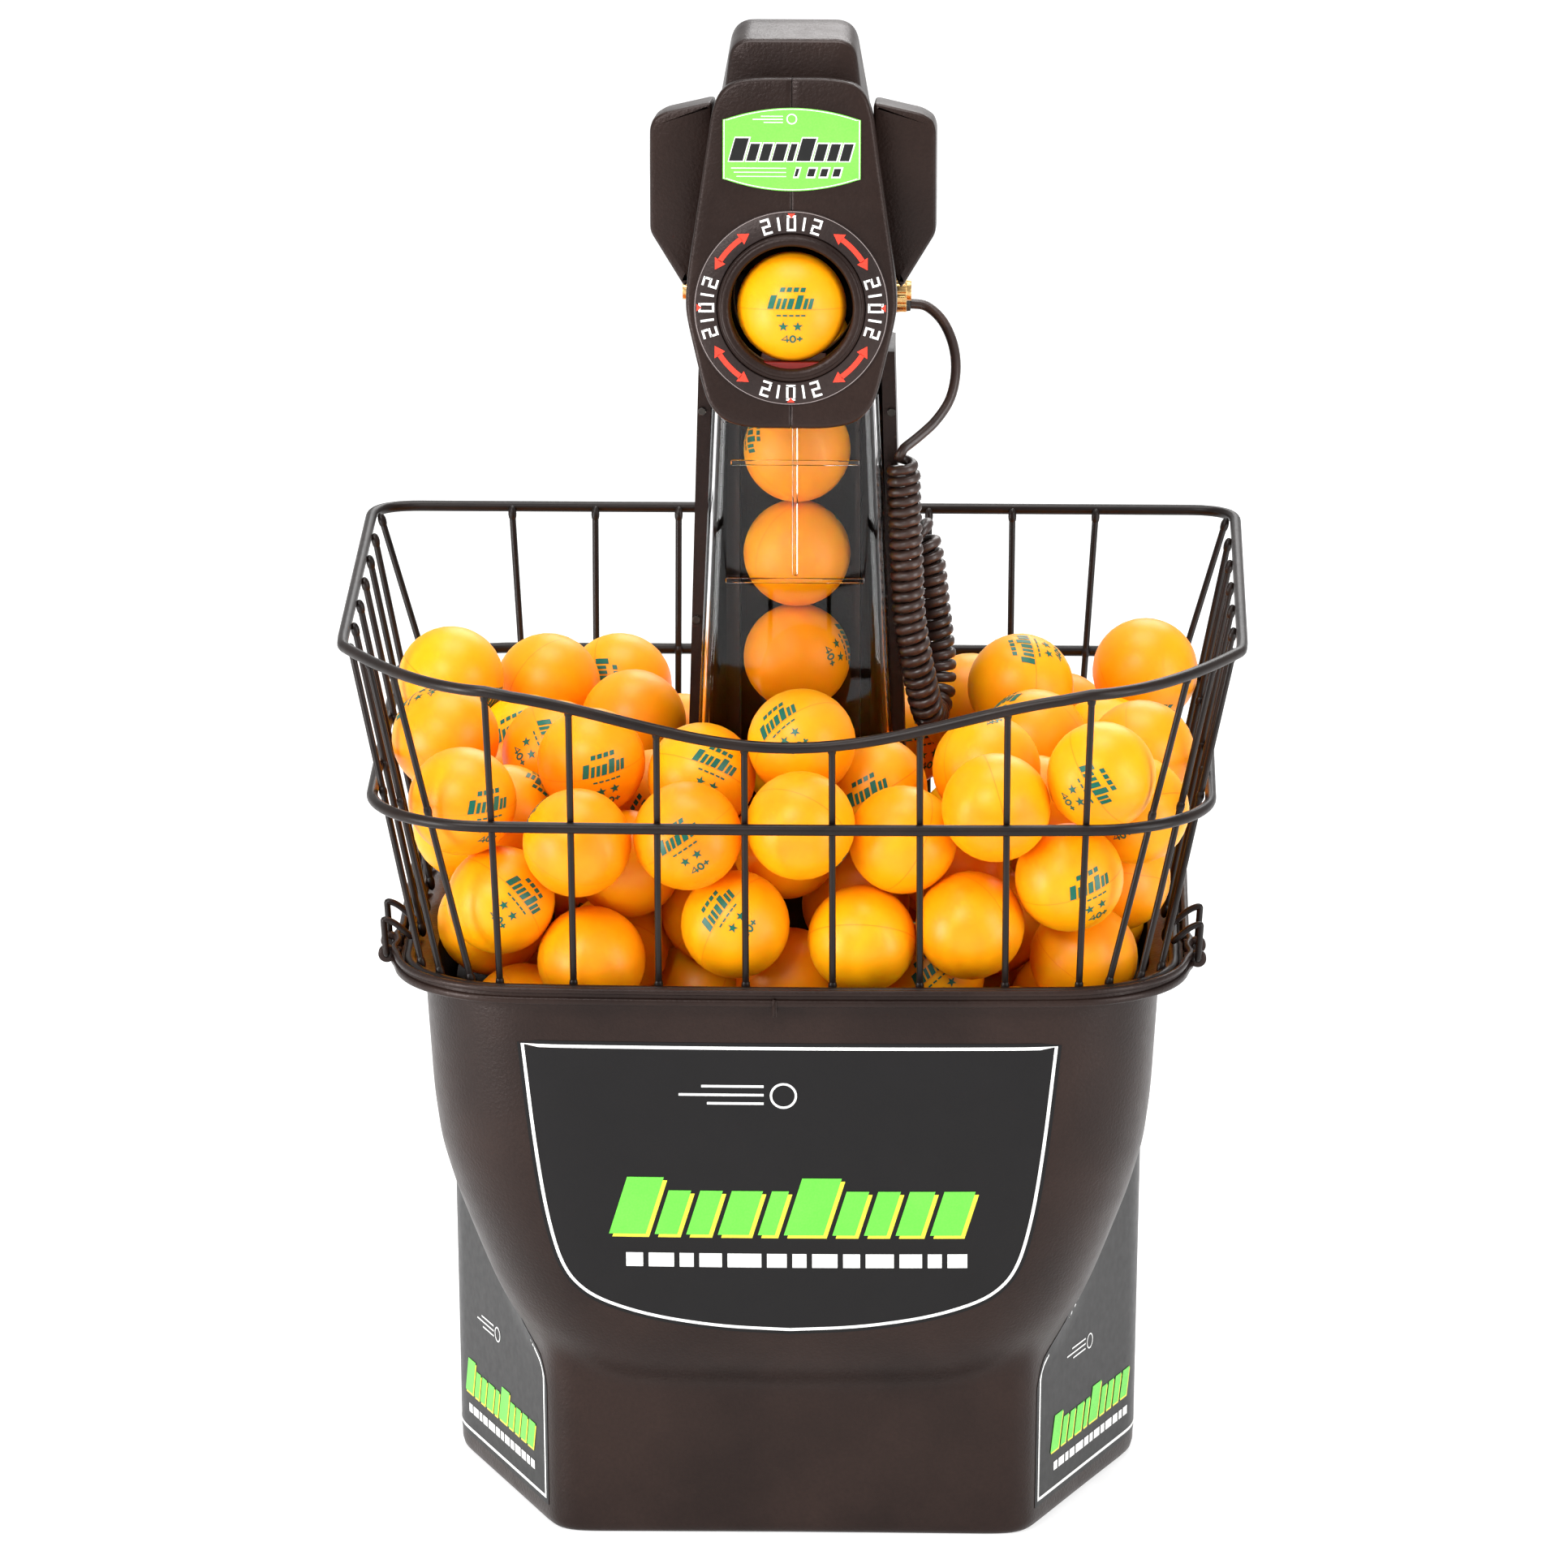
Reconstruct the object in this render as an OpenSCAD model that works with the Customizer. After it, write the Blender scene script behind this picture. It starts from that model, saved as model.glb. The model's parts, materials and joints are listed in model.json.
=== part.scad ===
// Table-tennis ball robot: a hopper bucket with a wire basket, a tower that swings
// from side to side, and a throwing head that tilts and turns on the tower.
// Origin: centre of the footprint, on the floor. X is right, Y is back, Z is up.

/* [Ball] */
// Diameter of a ball
ball_d = 40; // [40:0.5:44]
// How many balls are dropped into the basket
ball_drops = 150; // [20:1:160]
// Seed of the drop order
ball_seed = 7; // [1:1:99]

/* [Bucket] */
// Half width of the rim
rim_half_w = 147; // [140:1:150]
// Front of the rim, at its middle
rim_front = -124; // [-126:1:-120]
// Back of the rim
rim_rear = 128; // [124:1:130]
// Top of the rim's outer lip
rim_top = 224.5; // [222:0.5:226]
// Wall thickness of the bucket
wall = 3; // [2:0.5:4]
// Height of the plinth's crease at the front
plinth_crease = 64; // [56:1:70]

/* [Basket] */
// Diameter of the three ring wires
ring_d = 4.2; // [3.6:0.2:5]
// Diameter of the upright wires
wire_d = 2.5; // [2:0.1:3]
// Height of the top ring at the back and sides
basket_top = 341; // [335:1:345]
// How far the top ring dips at the front
basket_dip = 21.5; // [10:0.5:24]
// Height of the middle ring
mid_ring_z = 287; // [280:1:295]

/* [Tower] */
// Distance of the tower's axis behind the middle
tower_y = 16; // [15:1:17]
// Height of the tilt pivot
pivot_z = 455.2; // [450:0.1:460]
// Outer radius of the tower's foot, which turns in the bearing
foot_r = 27; // [26:0.5:28]
// Running clearance of the round fits
fit = 0.06; // [0.03:0.01:0.09]

/* [Head] */
// Tilt of the head at rest, above level
head_rest_tilt = 9; // [6:1:12]
// Distance from the tilt pivot to the face of the head
head_reach = 101.2; // [100:0.2:104]
// Radius of the hole the ball leaves through
muzzle_r = 22.4; // [21.5:0.1:23]
// Radius of the throwing wheel
wheel_r = 27.4; // [26.4:0.2:27.4]

/* [Cord] */
// Diameter of the cord
cord_d = 3.8; // [3:0.1:4]
// Outer diameter of the coiled stretch
curl_d = 13; // [11:0.5:13]

/* [Hidden] */
$fn = 48;
ball_r = ball_d / 2;
ring_r = ring_d / 2;
wire_r = wire_d / 2;
body_brown = [0.2, 0.16, 0.15];
wire_brown = [0.16, 0.11, 0.09];
ball_orange = [1, 0.62, 0.08];

// Feed mechanism: a star wheel turns below the basket and pushes balls up the tower
feed_r = 42;                        // from the star wheel's axis to its pockets
feed_y = tower_y - feed_r;
feed_floor = 94;                    // the plate that the pocket balls roll on
column_z = feed_floor + ball_r + ball_d + 0.3;  // lowest ball inside the tower

// Swing drive
sector_teeth = 88;                  // teeth that the sector would have as a full gear
pinion_teeth = 22;
sector_r = sector_teeth / 2;        // module 1
pinion_r = pinion_teeth / 2;
pinion_y = tower_y + sector_r + pinion_r;
gear_z = 136;
gear_h = 6;

// Rim of the bucket and the ring that sits in it
rim_flange_z = rim_top - 6.7;
rim_plate = 2;
low_ring_z = rim_flange_z + rim_plate + ring_r + 0.1;
low_ring_inset = 6;
low_ring_half_w = rim_half_w - low_ring_inset;
basket_front = rim_front + low_ring_inset;
basket_rear = rim_rear - low_ring_inset;
side_flare = 0.2;                   // outward lean of the basket's sides, per mm of height
front_flare = 0.185;
rear_flare = 0.148;
weld = 0.4;                         // how deep a wire sinks into a ring where it is welded
wire_inset = ring_r + wire_r - weld;

// The route of the cord where it isn't coiled, and the middle line of its coil
lead_route = [[42, 33, 446], [48, 33, 445], [54, 30, 440], [58, 25, 432], [59, 20, 423],
    [57, 15, 414], [52, 10, 407], [46, 6, 402], [40, 2, 398]];
curl_route = [[40, 2, 398], [40, 2, 385], [41, 2, 360], [42, 3, 335], [45, 5, 315],
    [48, 11, 299], [50, 20, 291], [51, 31, 290], [53, 40, 296], [53, 45, 308],
    [51, 47, 325], [49, 49, 342], [46, 51, 353], [41, 53, 357], [36, 53, 355]];
tail_route = [[36, 53, 355], [33, 53, 353], [30, 53, 352]];

// ---------- helpers ----------

function unit(v) = v / norm(v);

// Points of a rounded rectangle whose front edge is bowed forward by bow
function rounded_outline(half_w, front, rear, r, bow = 0, n = 6) =
    let (arc = function(cx, cy, a0) [for (i = [0:n])
            [cx + r * cos(a0 + 90 * i / n), cy + r * sin(a0 + 90 * i / n)]],
        edge = [for (i = [1:5]) [-(half_w - r) * (1 - i / 3), front]],
        raw = concat(arc(half_w - r, rear - r, 0), arc(r - half_w, rear - r, 90),
            arc(r - half_w, front + r, 180), edge, arc(half_w - r, front + r, 270)))
    [for (p = raw) p[1] < 0
        ? [p[0], p[1] - bow * (1 - pow(p[0] / half_w, 2)) * p[1] / front] : p];

// A closed solid through a list of [z, outline] sections
module loft(sections) {
    n = len(sections[0][1]);
    last = len(sections) - 1;
    points = [for (s = sections, p = s[1]) [p[0], p[1], s[0]]];
    sides = [for (k = [0:last - 1], i = [0:n - 1])
        let (j = (i + 1) % n, low = k * n, high = low + n)
        each [[low + i, high + i, high + j], [low + i, high + j, low + j]]];
    caps = [[for (i = [0:n - 1]) i], [for (i = [n - 1:-1:0]) last * n + i]];
    polyhedron(points, concat(sides, caps));
}

// A round tube along a path. up is never along the path.
module sweep_tube(path, r, sides = 8, up = [0, 0, 1], closed = false) {
    count = len(path);
    heading = [for (k = [0:count - 1]) closed
        ? unit(path[(k + 1) % count] - path[(k + count - 1) % count])
        : unit(path[min(k + 1, count - 1)] - path[max(k - 1, 0)])];
    points = [for (k = [0:count - 1]) let (s = unit(cross(heading[k], up)),
            t = cross(s, heading[k]))
        for (i = [0:sides - 1]) path[k] + r * (cos(360 * i / sides) * s
            + sin(360 * i / sides) * t)];
    walls = [for (k = [0:count - (closed ? 1 : 2)], i = [0:sides - 1])
        let (j = (i + 1) % sides, here = k * sides, next = ((k + 1) % count) * sides)
        each [[here + i, next + j, next + i], [here + i, here + j, next + j]]];
    ends = closed ? [] : [[for (i = [sides - 1:-1:0]) i],
        [for (i = [0:sides - 1]) (count - 1) * sides + i]];
    polyhedron(points, concat(walls, ends));
}

// A smooth line through the points of a route, with steps points between each pair
function smooth(route, steps) = let (m = len(route) - 1)
    concat([for (k = [0:m - 1], s = [0:steps - 1])
        let (a = route[max(k - 1, 0)], b = route[k], c = route[k + 1],
            d = route[min(k + 2, m)], t = s / steps)
        0.5 * (2 * b + (c - a) * t + (2 * a - 5 * b + 4 * c - d) * t * t
            + (3 * b - a - 3 * c + d) * t * t * t)], [route[m]]);

// A straight round bar between two points
module bar(a, b, r) {
    v = b - a;
    translate(a) rotate([0, acos(v[2] / norm(v)), atan2(v[1], v[0])])
        cylinder(r = r, h = norm(v));
}

// A flat shape drawn in X and Z, from y0 back to y1
module upright(y0, y1) translate([0, y1, 0]) rotate([90, 0, 0]) linear_extrude(y1 - y0)
    children();

module at_tower(z = 0) translate([0, tower_y, z]) children();

// The head's own frame: origin on the throw line at the face, Y back along the line
module at_head() translate([0, tower_y, pivot_z]) rotate([-head_rest_tilt, 0, 0])
    translate([0, -head_reach, 0]) children();

module mirrored(side) scale([side, 1, 1]) children();

// ---------- bucket ----------

// Sections of the bowl: [z, half width, front, rear, corner radius]
bowl_sections = [[plinth_crease - 4, 86, -76, 84, 34], [plinth_crease, 93, -83, 90, 38],
    [72, 99, -89, 95, 40], [83, 106, -94.5, 100, 42], [96, 112, -99, 105, 44],
    [112, 118, -103, 109, 45], [131, 125, -106.5, 112, 46], [150, 130.5, -109, 114.5, 46],
    [170, 133, -111, 116, 45], [rim_flange_z + 1, 136, -114, 119, 43]];
// Plan of the plinth's right half, front to back
plinth_plan = [[86, -81], [91, -76], [130.5, 23], [130.5, 60], [112, 100], [104, 104]];

module bowl(inset, top = 0) loft([for (i = [0:len(bowl_sections) - 1])
    let (s = bowl_sections[i], last = i == len(bowl_sections) - 1)
    [s[0] + (last ? top : i == 0 ? inset : 0),
        rounded_outline(s[1] - inset, s[2] + inset, s[3] - inset, s[4] - inset, 4)]]);

function plinth_scale(z) = 1 - 0.02 * (160 - z) / 160;
module plinth(inset, z0, z1) translate([0, 0, z0])
    linear_extrude(z1 - z0, scale = plinth_scale(z1) / plinth_scale(z0)) scale(plinth_scale(z0))
    offset(delta = -inset) polygon(concat(plinth_plan,
        [for (i = [len(plinth_plan) - 1:-1:0]) [-plinth_plan[i][0], plinth_plan[i][1]]]));

module rim_band(outset, z0, z1, inner) translate([0, 0, z0]) linear_extrude(z1 - z0)
    difference() {
        polygon(rounded_outline(rim_half_w + outset, rim_front + 5 - outset,
            rim_rear + outset, 45 + outset, 5));
        polygon(rounded_outline(inner, rim_front + 5 + (rim_half_w - inner),
            rim_rear - (rim_half_w - inner), 45 - (rim_half_w - inner), 5));
    }

// Two lugs that hold a basket clip
module clip_lugs(side) for (y = [clip_y - 9, clip_y + 9]) difference() {
    translate([side > 0 ? rim_half_w - 1.5 : -rim_half_w - 6, y - 1.5, clip_z - 3.2])
        cube([7.5, 3, 6.4]);
    translate([side * clip_x, y - 3, clip_z]) rotate([-90, 0, 0])
        cylinder(r = clip_wire_r + fit, h = 6);
}

module bucket() color(body_brown) {
    difference() {
        union() {
            bowl(0);
            plinth(0, 0, 160);
        }
        bowl(wall, 3);
        plinth(wall, wall, 157);
        translate([70, rim_rear - 40, 30]) rotate([-90, 0, 0]) cylinder(r = 9.5, h = 60);
    }
    rim_band(0, rim_flange_z, rim_flange_z + rim_plate, 132);
    rim_band(0, rim_flange_z + rim_plate, rim_flange_z + 2.9, rim_half_w - 2.6);
    rim_band(-1, rim_flange_z + 2.9, rim_flange_z + 4.3, rim_half_w - 2.6);
    rim_band(0, rim_flange_z + 4.3, rim_top, rim_half_w - 2.6);
    for (side = [-1, 1]) clip_lugs(side);
    for (p = plate_spots) translate([p[0], p[1], 0]) difference() {
        cylinder(r = 5.5, h = feed_floor - 3);
        translate([0, 0, 40]) cylinder(r = 2, h = 80);
    }
}

// ---------- hopper floor ----------

floor_edge_z = 186;
floor_hole_z = 147;
floor_hole_r = 60;
floor_t = 2.5;
floor_outline = rounded_outline(129, -107, 112, 40);

function floor_section(z, inner) = [for (p = floor_outline)
    inner ? [0, feed_y] + floor_hole_r * unit(p - [0, feed_y]) : p];

module hopper_floor() color("dimgray") difference() {
    union() {
        difference() {
            loft([[floor_hole_z - floor_t, floor_section(0, true)],
                [floor_edge_z - floor_t, floor_section(0, false)],
                [floor_edge_z, floor_section(0, false)]]);
            loft([[floor_hole_z, floor_section(0, true)],
                [floor_edge_z + 0.01, floor_section(0, false)],
                [floor_edge_z + 1, floor_section(0, false)]]);
        }
        at_tower(floor_hole_z - floor_t) cylinder(r = 38, h = 4);
    }
    difference() {
        translate([0, feed_y, 100]) cylinder(r = 56, h = 60);
        at_tower(90) cylinder(r = 37, h = 80);
    }
    at_tower(90) cylinder(r = bearing_r, h = 80);
    at_tower(bearing_z + 4) cylinder(r = bearing_r + 3, h = 20);
}

// ---------- basket ----------

function dip(x) = basket_dip / 2 * (1 + cos(min(180, 180 * abs(x) / 125)));
function front_at(z) = basket_front - front_flare * (z - low_ring_z);
function side_at(z) = low_ring_half_w + side_flare * (z - low_ring_z);
function rear_at(z) = basket_rear + rear_flare * (z - low_ring_z);

// Right half of the top ring, from the middle of the front to the middle of the back
corner_in = [110, front_at(basket_top) + 0.4];
corner_mid = [137, -133];
corner_out = [164, -77];
function bend(a, b, c, n) = [for (i = [0:n]) let (t = i / n)
    (1 - t) * (1 - t) * a + 2 * t * (1 - t) * b + t * t * c];
top_half_plan = concat(
    bend(corner_in, corner_mid, corner_out, 6),
    bend([164.8, -74], [165.3, -68], [165.3, -60], 2),
    bend([165.3, rear_at(basket_top) - 18], [165.3, rear_at(basket_top)],
        [147, rear_at(basket_top)], 5));
top_half = concat(
    [for (x = [0:10:100]) let (z = basket_top - dip(x)) [x, front_at(z), z]],
    [for (p = top_half_plan) [p[0], p[1], basket_top]]);
function mirror_x(p) = [-p[0], p[1], p[2]];
top_ring_path = concat(top_half, [for (i = [len(top_half) - 1:-1:1]) mirror_x(top_half[i])]);

function level_ring(z, r, bow) = [for (p = rounded_outline(side_at(z), front_at(z) + bow,
    rear_at(z), r, bow)) [p[0], p[1], z]];

module basket_top_ring() color(wire_brown)
    sweep_tube(top_ring_path, ring_r, closed = true);

module basket_mid_ring() color(wire_brown)
    sweep_tube(level_ring(mid_ring_z, 44, 4), ring_r, closed = true);

module basket_bottom_ring() color(wire_brown)
    sweep_tube(level_ring(low_ring_z, 39, 5), ring_r, closed = true);

// Foot and head of each upright wire on the middle lines of the rings
front_feet = [15.9, 47.8, 79, 106];
front_heads = [15.9, 47.8, 79.6, 110];
corner_foot_angles = [20, 43, 66];
corner_heads = [[164.6, -76], [157.5, -92], [148, -108]];
side_feet = [-41, -9, 23, 55, 86, 110];
side_heads = [-44, -10, 24, 58, 92, 124];
rear_feet = [16, 48, 79, 104];
rear_heads = [16, 48, 80, 112];
bow_at = function(x, half_w, bow) bow * (1 - pow(x / half_w, 2));

wires = concat(
    [for (i = [0:3]) let (z = basket_top - dip(front_heads[i]))
        [[front_feet[i], basket_front + 5 - bow_at(front_feet[i], low_ring_half_w, 5)
            + wire_inset, low_ring_z],
        [front_heads[i], front_at(z) + wire_inset, z]]],
    [for (i = [0:2]) let (a = -corner_foot_angles[i], h = corner_heads[i])
        [[low_ring_half_w - 39 + (39 - wire_inset) * cos(a),
            basket_front + 5 + 39 + (39 - wire_inset) * sin(a), low_ring_z],
        [h[0] - wire_inset * 0.9, h[1] + wire_inset * 0.45, basket_top]]],
    [for (i = [0:5]) [[low_ring_half_w - wire_inset - (i == 5 ? 12.2 : 0), side_feet[i],
            low_ring_z],
        [165.3 - wire_inset - (i == 5 ? 0.6 : 0), side_heads[i], basket_top]]],
    [for (i = [0:3]) [[rear_feet[i], basket_rear - wire_inset, low_ring_z],
        [rear_heads[i], rear_at(basket_top) - wire_inset, basket_top]]]);

module basket_wires() color(wire_brown) for (side = [-1, 1], w = wires)
    bar([side * w[0][0], w[0][1], w[0][2]], [side * w[1][0], w[1][1], w[1][2]], wire_r);

// Wire clips that hook over the bottom ring
clip_y = -58;
clip_z = 221.5;
clip_x = rim_half_w + 3;
clip_wire_r = 1.2;
clip_leg_y = 12.2;

module clip(side) mirrored(side) color("black") {
    for (s = [-1, 1]) {
        y = clip_y + s * clip_leg_y;
        bar([clip_x, clip_y + s * 6.5, clip_z], [clip_x, y, clip_z], clip_wire_r);
        translate([clip_x, y, clip_z]) sphere(clip_wire_r);
        bar([clip_x, y, clip_z], [clip_x + 1, y, 236], clip_wire_r);
        translate([clip_x + 1, y, 236]) sphere(clip_wire_r);
        bar([clip_x + 1, y, 236], [141, y, 228.5], clip_wire_r);
        translate([141, y, 228.5]) sphere(clip_wire_r);
    }
    bar([141, clip_y - clip_leg_y, 228.5], [141, clip_y + clip_leg_y, 228.5], clip_wire_r);
}

module clip_left() clip(-1);
module clip_right() clip(1);

// ---------- balls ----------

// Everything that the basket's balls keep clear of, for a ball centred at x, y, z
gap = 0.3;
tower_sweep_r = 47;
curl_sweep_r = 68;
function clear_of_tower(x, y, z) = let (d = norm([x, y - tower_y]), a = atan2(y - tower_y, x),
        high = z + ball_r > 230, by_curl = z + ball_r > 281 && a > -45 && a < 75)
    d > ball_r + gap + (by_curl ? curl_sweep_r : high ? tower_sweep_r : 34);

// Half width, front and rear limits of a ball's centre at height z
function edge_room(z) = z < 220 ? ball_r : sqrt(max(0, pow(ball_r, 2) - pow(z - 220, 2)));
function limits(z) = let (room = ball_r + gap + 0.6, low = z < 243, lip = edge_room(z) + gap + 1.3,
        w = side_at(z) - 4.3 - room, f = front_at(z) + 5 + 4.3 + room, r = rear_at(z) - 4.3 - room)
    low ? [min(w, 132.2 - lip), max(f, -109.5 + lip), min(r, 114.5 - lip)] : [w, f, r];
function in_basket(x, y, z) = let (m = limits(z), corner = z < 243 ? 27 : 36, cy = (m[1] + m[2]) / 2,
        q = [abs(x) - (m[0] - corner), abs(y - cy) - ((m[2] - m[1]) / 2 - corner)])
    norm([max(q[0], 0), max(q[1], 0)]) < corner && max(q[0], q[1]) < corner;

// Height of the sloping floor's top at a point: straight up from its hole to its rounded edge
function floor_z(x, y) = let (v = [x, y - feed_y], d = norm(v), u = v / max(d, 1),
        square_out = min(129 / max(abs(u[0]), 0.01), (u[1] < 0 ? 81 : 138) / max(abs(u[1]), 0.01)),
        out = min(square_out, u[1] < 0 ? 138 : 172.4),
        share = (d - floor_hole_r) / (out - floor_hole_r))
    share < 0 ? 0 : floor_hole_z + (floor_edge_z - floor_hole_z) * min(1, share);

// Lowest centre of a ball that rests on the sloping floor or over the star wheel
function floor_height(x, y) = max([feed_floor + ball_d + ball_r + 4.6,
    for (a = [0:30:330], s = [0.4, 0.7, 0.88, 0.97]) let (k = s * ball_r)
        floor_z(x + k * cos(a), y + k * sin(a)) + sqrt(ball_r * ball_r - k * k) + 4.6]);

// A ball lies on the pile, or on the floor where the pile doesn't hold it up
floor_reach = 210;
function rest_height(x, y, pile) = let (top = max([0, for (b = pile)
        let (dx = b[0] - x, dy = b[1] - y, s = dx * dx + dy * dy, reach = ball_d + 0.12)
        if (s < reach * reach) b[2] + sqrt(reach * reach - s)]))
    top > floor_reach ? top : max(top, floor_height(x, y));

// Height that the heap may reach: low at the front, higher in the middle and back left
function heap_top(x, y) = norm([x - 3, y + 54]) < 7 ? 327
    : 300 + 5 * cos(3 * x) - (y > 60 ? 4 : 0);

tries = 70;
function lowest(spots, pile) = let (found = [for (s = spots)
        let (z = rest_height(s[0], s[1], pile))
        if (z < heap_top(s[0], s[1]) && clear_of_tower(s[0], s[1], z)
            && in_basket(s[0], s[1], z)) [s[0], s[1], z]],
        low = min([1000, for (b = found) b[2]]))
    [for (b = found) if (b[2] == low) b];

// A ball rolls downhill in ever shorter steps until it lies in a hollow
function settled(p, pile, step) = step < 0.5 ? p
    : let (near = lowest([for (a = [0:45:315]) [p[0] + step * cos(a), p[1] + step * sin(a)]],
            pile), down = len(near) > 0 && near[0][2] < p[2] - 0.01)
    settled(down ? near[0] : p, pile, down ? step : step / 2);

function dropped(pile, i) = i >= ball_drops ? pile
    : let (xs = rands(-134, 134, tries, ball_seed + 2 * i),
        ys = rands(-112, 116, tries, ball_seed + 2 * i + 1),
        spots = [for (k = [0:tries - 1]) [xs[k], ys[k]]],
        on_top = i == ball_drops - 1, best = lowest(on_top ? [[0, -54]] : spots, pile))
    dropped(len(best) == 0 ? pile
        : concat(pile, [on_top ? best[0] : settled(best[0], pile, 6)]), i + 1);

module ball_pile() color(ball_orange) for (p = dropped([], 0)) translate(p) sphere(ball_r);

module tube_balls() color(ball_orange) for (i = [0:7])
    at_tower(column_z + i * (ball_d + 0.02)) sphere(ball_r);

module pocket_balls() color(ball_orange) for (i = [0:4])
    translate([0, feed_y, feed_floor + ball_r + 0.1]) rotate(90 + 72 * i)
        translate([feed_r, 0, 0]) sphere(ball_r);

module served_ball() color(ball_orange) at_head() translate([0, 9, 0]) sphere(ball_r);

// ---------- feed mechanism ----------

motor_shaft_r = 3;
plate_spots = [for (x = [-86, 86], y = [-40, 62]) [x, y]];

module chassis_plate() color("gray") difference() {
    translate([0, 0, feed_floor - 3]) linear_extrude(3) intersection() {
        polygon(rounded_outline(106, -94, 92, 36));
        polygon(concat([for (p = plinth_plan) [p[0] + 20, p[1] - 12]],
            [for (i = [len(plinth_plan) - 1:-1:0])
                [-plinth_plan[i][0] - 20, plinth_plan[i][1] - 12]]));
    }
    translate([0, feed_y, 80]) cylinder(r = 10, h = 20);
    for (p = plate_spots) translate([p[0], p[1], 80]) cylinder(r = 2.2, h = 20);
}

module chassis_screws() color("silver") for (p = plate_spots)
    translate([p[0], p[1], feed_floor]) {
        cylinder(r = 4, h = 2.4);
        translate([0, 0, -14]) cylinder(r = 1.95, h = 15);
    }

// Posts that hold the hopper floor over the chassis plate
module standoffs() color("silver") for (side = [-1, 1], p = [[50, 60, 157], [72, -52, 149.5]])
    translate([side * p[0], p[1], feed_floor]) {
        cylinder(r = 5, h = p[2] - feed_floor);
        cylinder(r = 7, h = 3);
    }

module feed_gearmotor() color("silver") difference() {
    union() {
        translate([0, feed_y, 58]) cylinder(r = 18, h = 33);
        translate([0, feed_y - 6, 24]) cylinder(r = 13, h = 34);
        translate([0, feed_y, 91]) cylinder(r = 9.9, h = 4);
    }
    translate([0, feed_y, 70]) cylinder(r = motor_shaft_r + fit, h = 30);
}

module feed_wheel() color("ivory") {
    difference() {
        translate([0, feed_y, 104]) cylinder(r = 56, h = 18);
        for (i = [0:4]) translate([0, feed_y, 100]) rotate(90 + 72 * i)
            translate([feed_r, 0, 0]) cylinder(r = ball_r + 1.2, h = 30);
    }
    translate([0, feed_y, 96]) cylinder(r = 9, h = 9);
    translate([0, feed_y, 72]) cylinder(r = motor_shaft_r, h = 25);
}

module feed_guide() color("dimgray") difference() {
    translate([0, feed_y, feed_floor]) cylinder(r = feed_r + ball_r + 2.9, h = 38);
    translate([0, feed_y, feed_floor - 1]) cylinder(r = feed_r + ball_r + 0.8, h = 40);
}

module oscillator_motor() color("silver") difference() {
    union() {
        translate([0, pinion_y, feed_floor]) cylinder(r = 16, h = 34);
        translate([0, pinion_y, feed_floor + 34]) cylinder(r = 6, h = 4);
        for (x = [-19, 19]) translate([x, pinion_y, feed_floor]) cylinder(r = 4, h = 3);
        translate([-19, pinion_y - 4, feed_floor]) cube([38, 8, 3]);
    }
    translate([0, pinion_y, feed_floor + 10]) cylinder(r = motor_shaft_r + fit, h = 40);
}

// Outline of a module 1 gear: teeth from first to last, counted round from angle zero
tooth_tip = 0.8;
tooth_root = 1.15;
function tooth(r, a) = [for (p = [[r - tooth_root, -1.05], [r + tooth_tip, -0.36],
        [r + tooth_tip, 0.36], [r - tooth_root, 1.05]])
    let (turn = a + p[1] / p[0] * 180 / PI) p[0] * [cos(turn), sin(turn)]];

module osc_pinion() color("ivory") {
    translate([0, pinion_y, gear_z]) difference() {
        linear_extrude(gear_h) polygon([for (i = [0:pinion_teeth - 1])
            each tooth(pinion_r, -90 + (i + 0.5) * 360 / pinion_teeth)]);
    }
    translate([0, pinion_y, feed_floor + 14]) cylinder(r = motor_shaft_r, h = gear_z - feed_floor - 13);
}

module sector_gear() color("ivory") at_tower(gear_z) difference() {
    union() {
        cylinder(r = foot_r + 4, h = gear_h);
        linear_extrude(gear_h) polygon(concat([[0, 0]], [for (i = [-9:9])
            each tooth(sector_r, 90 + i * 360 / sector_teeth)]));
    }
    translate([0, 0, -1]) cylinder(r = foot_r, h = gear_h + 2);
}

bearing_r = 31.5;
bearing_z = floor_hole_z - floor_t;

module tower_bearing() color("white") at_tower(bearing_z) difference() {
    union() {
        cylinder(r = bearing_r, h = 10);
        translate([0, 0, 4]) cylinder(r = bearing_r + 2.5, h = 6);
    }
    translate([0, 0, -1]) cylinder(r = foot_r + fit, h = 20);
}

module cable_socket() color("black") translate([70, 0, 30]) rotate([-90, 0, 0]) {
    difference() {
        union() {
            translate([0, 0, socket_wall_y - 12]) cylinder(r = 9.4, h = 17);
            translate([0, 0, socket_wall_y + 0.1]) cylinder(r = 12, h = 2);
        }
        translate([0, 0, socket_wall_y - 8]) cylinder(r = 6.5, h = 20);
    }
    for (i = [0:4]) rotate(72 * i) translate([3.6, 0, socket_wall_y - 9])
        cylinder(r = 0.7, h = 8, $fn = 16);
}

socket_wall_y = 104;

// ---------- tower ----------

channel_low = 236;
channel_high = 433;
function channel_w(z) = 40 - (z - 300) * 3 / 110;
function window_w(z) = 35.5 - (z - 311) * 4 / 94;

// A leaning wall strip on both sides, between two half widths
module side_strips(w0, w1, t, z0, z1, y0, y1) for (side = [-1, 1]) upright(y0, y1)
    polygon([[side * w0, z0], [side * w1, z1], [side * (w1 - t), z1], [side * (w0 - t), z0]]);

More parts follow.
